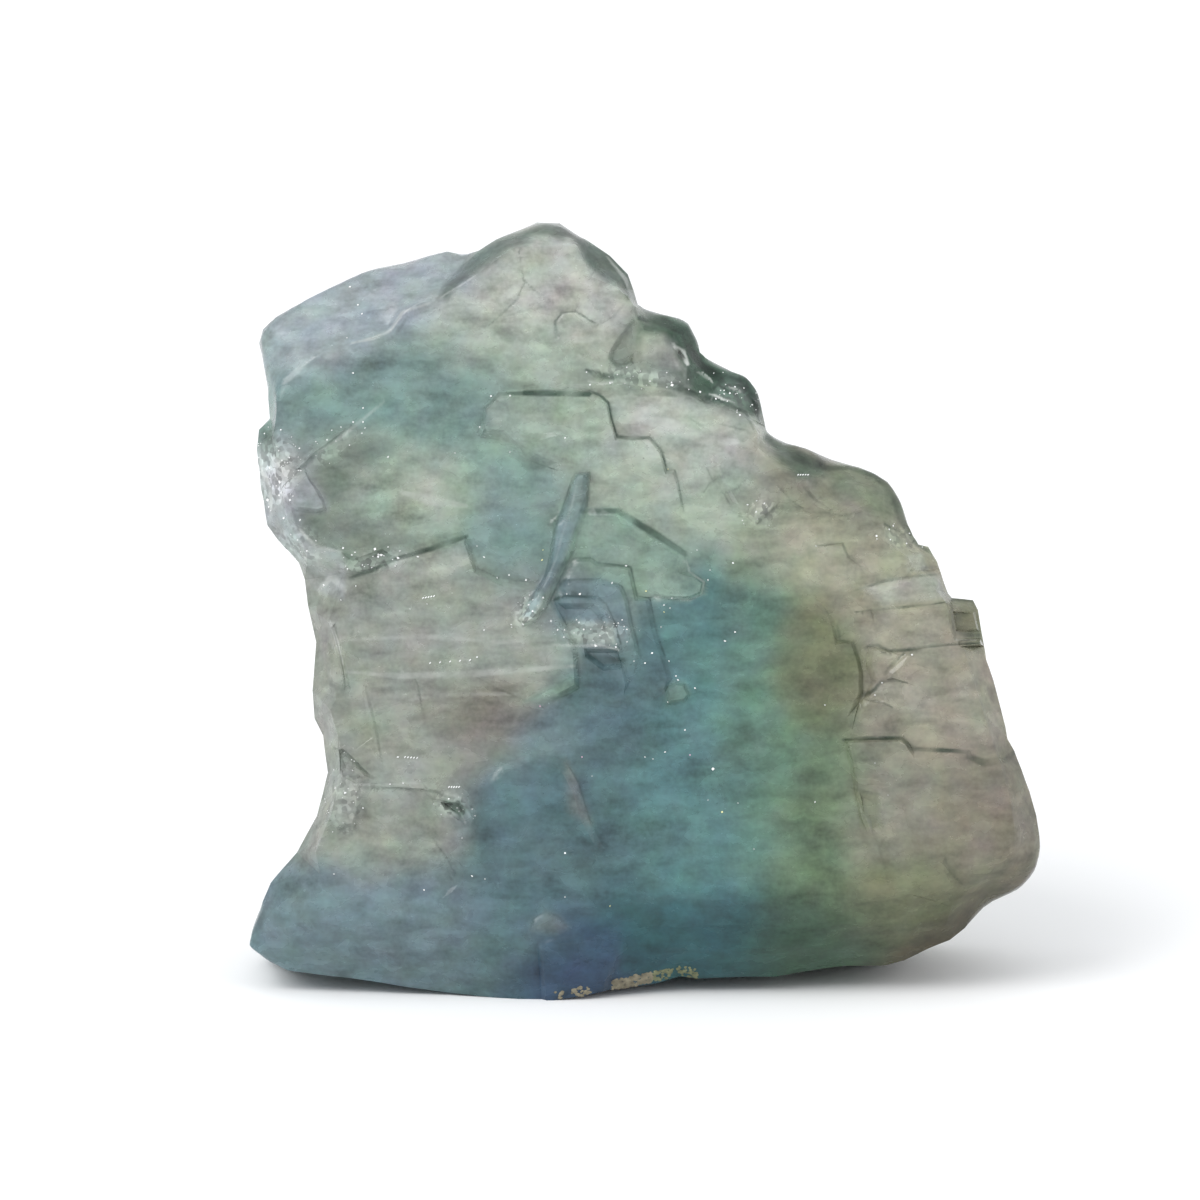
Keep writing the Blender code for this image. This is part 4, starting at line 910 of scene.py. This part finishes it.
def stone_material():
    material = bpy.data.materials.new("blue-green barite")
    material.use_nodes = True
    nodes, links = material.node_tree.nodes, material.node_tree.links
    surface = nodes["Principled BSDF"]
    surface.inputs["IOR"].default_value = BARITE_IOR
    surface.inputs["Specular IOR Level"].default_value = 0.2

    def node(kind, **settings):
        made = nodes.new(kind)
        for name, value in settings.items():
            setattr(made, name, value)
        return made

    def attribute(name):
        return node("ShaderNodeAttribute", attribute_name=name)

    def fractal(scale, detail, stretch=(1, 1, 1), distortion=0.0):
        mapping = node("ShaderNodeMapping")
        mapping.inputs["Scale"].default_value = stretch
        links.new(where.outputs["Object"], mapping.inputs["Vector"])
        texture = node("ShaderNodeTexNoise")
        texture.inputs["Scale"].default_value = scale
        texture.inputs["Detail"].default_value = detail
        texture.inputs["Distortion"].default_value = distortion
        links.new(mapping.outputs["Vector"], texture.inputs["Vector"])
        return texture.outputs["Fac"]

    def tints():
        texture = node("ShaderNodeTexNoise")
        texture.inputs["Scale"].default_value = TINTS
        texture.inputs["Detail"].default_value = 3
        links.new(where.outputs["Object"], texture.inputs["Vector"])
        return texture.outputs["Color"]

    def remap(value, low, high, to_low=0.0, to_high=1.0):
        made = node("ShaderNodeMapRange")
        links.new(value, made.inputs["Value"])
        for socket, number in zip(("From Min", "From Max", "To Min", "To Max"), (low, high, to_low, to_high)):
            made.inputs[socket].default_value = number
        return made.outputs["Result"]

    def calculate(operation, first, second, clamp=True):
        made = node("ShaderNodeMath", operation=operation, use_clamp=clamp)
        for socket, value in zip(made.inputs, (first, second)):
            if isinstance(value, (int, float)):
                socket.default_value = value
            else:
                links.new(value, socket)
        return made.outputs["Value"]

    def mix(factor, first, second, blend="MIX"):
        made = node("ShaderNodeMix", data_type="RGBA", blend_type=blend)
        for socket, value in zip((made.inputs[0], made.inputs[6], made.inputs[7]), (factor, first, second)):
            if isinstance(value, (int, float, tuple)):
                socket.default_value = value
            else:
                links.new(value, socket)
        return made.outputs[2]

    where = node("ShaderNodeTexCoord")
    growth = attribute("growth colour").outputs["Color"]
    frost = attribute("frost").outputs["Fac"]
    dark = attribute("cracks and painted shade").outputs["Fac"]
    bright = attribute("veils and painted highlights").outputs["Fac"]

    clouds = fractal(CLOUDS, 5, (0.75, 1, 1), 0.3)
    wisps = fractal(WISPS, 5, (0.6, 1, 1), 0.3)
    streaks = fractal(STREAKS, 5, (0.35, 1, 1))
    grain = fractal(GRAIN, 3)
    light = calculate("ADD", remap(clouds, 0.3, 0.7, 0.0, 0.50), remap(wisps, 0.3, 0.7, 0.0, 0.50), False)
    light = calculate("ADD", light, remap(streaks, 0.3, 0.7, 0.0, 0.30), False)
    light = calculate("ADD", light, remap(grain, 0.3, 0.7, 0.0, 0.22), False)
    light = calculate("ADD", light, 0.25, False)
    colour = mix(1.0, growth, light, "MULTIPLY")
    tint = mix(1.0, tints(), (2, 2, 2, 1), "MULTIPLY")
    colour = mix(0.14, colour, tint, "MULTIPLY")
    # Frosty places break into lighter and darker flakes: the broken surface's own patchy white, and painted
    # sparkle where its facets would catch the light.
    flakes = node("ShaderNodeTexVoronoi")
    flakes.inputs["Scale"].default_value = FLAKES
    links.new(where.outputs["Object"], flakes.inputs["Vector"])
    flake_grey = node("ShaderNodeRGBToBW")
    links.new(flakes.outputs["Color"], flake_grey.inputs["Color"])
    flakes_and_sparkle = mix(1.0, colour, remap(flake_grey.outputs["Val"], 0.25, 0.75, 0.45, 1.65), "MULTIPLY")
    colour = mix(calculate("MULTIPLY", frost, 0.85), colour, flakes_and_sparkle)
    colour = mix(calculate("MULTIPLY", frost, 0.12), colour, (0.62, 0.65, 0.64, 1))
    # Painted shade along step edges and rims, with the cracks' own dark.
    colour = mix(dark, colour, (0.13, 0.20, 0.17, 1), "MULTIPLY")
    # Painted highlights along edges, with the veils' own pale.
    colour = mix(bright, colour, (0.78, 0.80, 0.76, 1))
    links.new(colour, surface.inputs["Base Color"])

    through = remap(clouds, 0.35, 0.65, 0.26, 0.42)
    brightness = node("ShaderNodeRGBToBW")
    links.new(growth, brightness.inputs["Color"])
    through = calculate("MULTIPLY", through, remap(brightness.outputs["Val"], 0.04, 0.25, 0.08, 1.0))
    links.new(calculate("SUBTRACT", through, calculate("MULTIPLY", frost, 0.2)),
              surface.inputs["Transmission Weight"])
    links.new(calculate("ADD", remap(wisps, 0.3, 0.7, 0.18, 0.32), calculate("MULTIPLY", frost, 0.12)),
              surface.inputs["Roughness"])

    bump = node("ShaderNodeBump")
    bump.inputs["Strength"].default_value = 0.35
    bump.inputs["Distance"].default_value = 0.00006
    links.new(calculate("ADD", calculate("MULTIPLY", fractal(3500, 3, (0.4, 1, 1)), 0.6),
                        calculate("MULTIPLY", wisps, 0.4)), bump.inputs["Height"])
    links.new(bump.outputs["Normal"], surface.inputs["Normal"])

    inside = node("ShaderNodeVolumeAbsorption")
    inside.inputs["Color"].default_value = (0.55, 0.80, 0.78, 1)
    inside.inputs["Density"].default_value = 40
    links.new(inside.outputs["Volume"], nodes["Material Output"].inputs["Volume"])
    return material


fine.materials.clear()
fine.materials.append(stone_material())
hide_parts(NODE)
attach(crystal, "root")
print("stone ready")

# %% [markdown]
# ## Glints
#
# Small broken facets and trapped flakes flash in the light. Here each is a tiny tilted chip, coloured white,
# a few yellow and pink, as a painted highlight, and set into the surface where a ray from the front meets it,
# so from any side it sits on the stone. A noise threshold in the shader would scatter them at random, but
# these have known places.

# %% Set the glints
GLINT_THICKNESS = 0.00009
GLINTS = {
    "glints": ((0.95, 0.96, 0.95), [
        (388, 457, 2), (455, 453, 2.5), (410, 609, 2), (427, 604, 2), (484, 630, 2), (477, 657, 2),
        (398, 757, 2.5), (390, 784, 2), (403, 783, 2), (420, 781, 2), (363, 808, 3), (334, 874, 2),
        (424, 890, 2), (462, 838, 2), (472, 876, 2.5), (485, 879, 2), (324, 585, 3), (356, 586, 2.5),
        (341, 600, 2), (350, 287, 3), (358, 305, 2.5), (362, 314, 3), (347, 338, 2), (353, 373, 2),
        (363, 408, 2), (363, 422, 2), (327, 440, 3), (343, 548, 3), (375, 549, 3), (381, 555, 3.5),
        (388, 547, 2.5), (398, 558, 3), (418, 557, 2.5), (510, 396, 2), (491, 396, 2), (480, 427, 2.5),
        (510, 452, 2), (565, 438, 2), (484, 557, 2), (477, 546, 2), (509, 575, 2), (497, 578, 2),
        (526, 580, 2.5), (533, 600, 3), (529, 605, 3), (523, 624, 3), (551, 621, 2.5), (567, 594, 2),
        (580, 594, 2.5), (626, 566, 2), (612, 583, 2), (672, 598, 2), (664, 605, 2.5), (670, 608, 2),
        (661, 627, 2), (574, 633, 2), (564, 637, 2), (595, 645, 3), (616, 647, 2.5), (634, 661, 2.5),
        (645, 663, 2), (652, 653, 2), (669, 661, 2), (676, 676, 2), (678, 680, 2), (725, 641, 2.5),
        (735, 632, 2), (733, 563, 2), (697, 550, 2.5), (685, 730, 2), (653, 759, 2), (645, 757, 2),
        (665, 752, 2), (592, 776, 2), (668, 702, 2), (695, 688, 2), (708, 800, 2), (738, 803, 2),
        (565, 853, 2), (565, 897, 2), (754, 849, 2), (825, 705, 2), (875, 763, 2), (888, 795, 2),
        (815, 802, 3), (816, 546, 2), (882, 683, 2.5), (875, 695, 3), (905, 655, 2), (912, 655, 2),
        (710, 570, 2), (708, 580, 2), (590, 385, 4), (610, 383, 3.5), (650, 381, 3), (672, 385, 3.5),
        (700, 392, 3.5), (716, 399, 3), (735, 387, 3), (752, 405, 3), (270, 468, 4), (280, 482, 4),
        (290, 500, 4), (268, 500, 3.5), (300, 520, 3.5), (284, 518, 3), (713, 769, 4)]),
    "yellow glints": ((0.86, 0.83, 0.42), [
        (646, 591, 2), (668, 469, 2.5), (543, 550, 2), (542, 560, 2.5), (610, 906, 2.5), (664, 612, 2),
        (722, 812, 3)]),
    "pink glints": ((0.85, 0.55, 0.7), [(582, 757, 2.5), (690, 755, 2), (540, 706, 2)]),
}
PIXELS_PER_SPARK = 28
DASHES = [
    (423, 598, 434, 596), (405, 757, 417, 758), (449, 787, 459, 787),
    (798, 475, 808, 475), (430, 663, 470, 660)]


def glint_material(name, colour):
    """Bright, fairly smooth chips whose colour is a painted highlight, each a little different in brightness.
    """
    material = bpy.data.materials.new(name)
    material.use_nodes = True
    nodes, links = material.node_tree.nodes, material.node_tree.links
    surface = nodes["Principled BSDF"]
    surface.inputs["Roughness"].default_value = 0.25
    where = nodes.new("ShaderNodeTexCoord")
    patches = nodes.new("ShaderNodeTexNoise")
    patches.inputs["Scale"].default_value = 600
    links.new(where.outputs["Object"], patches.inputs["Vector"])
    tone = nodes.new("ShaderNodeValToRGB")
    tone.color_ramp.elements[0].color = (*[0.75 * part for part in colour], 1)
    tone.color_ramp.elements[1].color = (*colour, 1)
    links.new(patches.outputs["Fac"], tone.inputs["Fac"])
    links.new(tone.outputs["Color"], surface.inputs["Base Color"])
    return material


tree = BVHTree.FromPolygons([tuple(place) for place in moved_places],
                            [tuple(face.vertices) for face in fine.polygons])


def on_front(x, y):
    """Where the line of sight through a pixel meets the stone, and which way the stone faces there."""
    across = RIGHT * (x - PICTURE / 2) - UP * (y - PICTURE / 2)
    sight = (across * SENSOR / lens / PICTURE - OUT).normalized()
    return tree.ray_cast(eye, sight)[:2]


def add_chip(points, faces, place, normal, half_length, half_width, turn, chance):
    """A flat four-sided chip, sunk by its half into the stone."""
    along = normal.orthogonal().normalized()
    along = Matrix.Rotation(turn, 3, normal) @ along
    across = normal.cross(along)
    tilt = Vector(chance.uniform(-0.3, 0.3, 3))
    base = len(points)
    for level in (-1, 1):
        for a, b in ((-1, -0.3), (0.2, -1), (1, 0.4), (-0.4, 1)):
            point = place + along * a * half_length + across * b * half_width
            points.append(point + (normal + tilt * a * 0.6) * GLINT_THICKNESS / 2 * level)
    faces += [[base + i for i in face] for face in (
        (3, 2, 1, 0), (4, 5, 6, 7), (0, 1, 5, 4), (1, 2, 6, 5), (2, 3, 7, 6), (3, 0, 4, 7))]


def add_glints(name, colour, spots_list, dashes=()):
    chance = np.random.default_rng(len(spots_list))
    points, faces = [], []
    for x, y, half in spots_list:
        place, normal = on_front(x, y)
        if place is not None:
            size = half * PIXEL * chance.uniform(0.25, 0.6)
            turn = chance.uniform(0, math.tau)
            add_chip(points, faces, place, normal, size, size * chance.uniform(0.5, 1), turn, chance)
    for x0, y0, x1, y1 in dashes:
        for share in np.linspace(0, 1, 5):
            place, normal = on_front(x0 + (x1 - x0) * share, y0 + (y1 - y0) * share)
            add_chip(points, faces, place, normal, PIXEL * 1.4, PIXEL * 0.6, 0.0, chance)
    mesh = bpy.data.meshes.new(name)
    mesh.from_pydata(points, [], faces)
    mesh.materials.append(glint_material(name, colour))
    piece = bpy.data.objects.new(name.replace(" ", "_"), mesh)
    bpy.context.scene.collection.objects.link(piece)
    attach(piece, "root")
    print(name, len(faces) // 6)


def frost_sparks():
    """Places and half sizes of the small sparks in the broken places."""
    chance = np.random.default_rng(len(FROST))
    sparks = []
    for x, y, half_width, half_height, turn, rough in FROST.values():
        angle = math.radians(turn)
        for spark in range(round(half_width * half_height * rough / PIXELS_PER_SPARK)):
            reach, around = math.sqrt(chance.uniform()), chance.uniform(0, math.tau)
            along, across = reach * math.cos(around) * half_width, reach * math.sin(around) * half_height
            sparks.append((
                x + along * math.cos(angle) - across * math.sin(angle),
                y + along * math.sin(angle) + across * math.cos(angle),
                chance.uniform(1.0, 2.2)))
    return sparks


for name, (colour, spots_list) in GLINTS.items():
    if name == "glints":
        add_glints(name, colour, spots_list + frost_sparks(), DASHES)
    else:
        add_glints(name, colour, spots_list)

# %% [markdown]
# ## Crumbs of host rock
#
# A few tan and olive grains of the rock that the crystal was broken from still cling to the lower edge. They
# are thin irregular lumps pressed onto the stone. Modelling them in the solid would give the part a rough
# edge that nobody wants to print or hold, so they are part of the looks only.

# %% Press the crumbs on
CRUMB_RUNS = {
    "tan crumbs": ((0.19, 0.17, 0.12), [
        (612, 986, 652, 977, 210), (572, 993, 590, 990, 24), (555, 994, 562, 994, 8)]),
    "olive crumbs": ((0.15, 0.16, 0.09), [(652, 977, 672, 973, 50), (677, 969, 697, 974, 36)]),
}


def crumb_material(name, colour):
    material = bpy.data.materials.new(name)
    material.use_nodes = True
    nodes, links = material.node_tree.nodes, material.node_tree.links
    surface = nodes["Principled BSDF"]
    surface.inputs["Roughness"].default_value = 0.9
    where = nodes.new("ShaderNodeTexCoord")
    grains = nodes.new("ShaderNodeTexVoronoi")
    grains.inputs["Scale"].default_value = 2500
    links.new(where.outputs["Object"], grains.inputs["Vector"])
    tone = nodes.new("ShaderNodeValToRGB")
    tone.color_ramp.elements[0].color = (*[0.55 * part for part in colour], 1)
    tone.color_ramp.elements[1].color = (*[1.5 * part for part in colour], 1)
    links.new(grains.outputs["Distance"], tone.inputs["Fac"])
    links.new(tone.outputs["Color"], surface.inputs["Base Color"])
    return material


def add_crumbs(name, colour, runs):
    chance = np.random.default_rng(len(name))
    grains = bmesh.new()
    for x0, y0, x1, y1, amount in runs:
        for share in chance.uniform(0, 1, amount):
            x = x0 + (x1 - x0) * share + chance.uniform(-1, 1)
            y = y0 + (y1 - y0) * share + chance.uniform(-5, 5)
            place, normal = on_front(x, y)
            if place is None:
                continue
            size = PIXEL * chance.uniform(1.2, 3.0)
            made = bmesh.ops.create_icosphere(grains, subdivisions=1, radius=size)["verts"]
            for point in made:
                point.co *= chance.uniform(0.7, 1.1)
                point.co -= normal * point.co.dot(normal) * 0.65
                point.co += place
    for point in grains.verts:
        point.co = [min(max(value, low[i]), high[i]) for i, value in enumerate(point.co)]
    mesh = bpy.data.meshes.new(name)
    grains.to_mesh(mesh)
    grains.free()
    mesh.materials.append(crumb_material(name, colour))
    piece = bpy.data.objects.new(name.replace(" ", "_"), mesh)
    bpy.context.scene.collection.objects.link(piece)
    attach(piece, "root")
    print(name, len(mesh.vertices), "points")


for name, (colour, runs) in CRUMB_RUNS.items():
    add_crumbs(name, colour, runs)
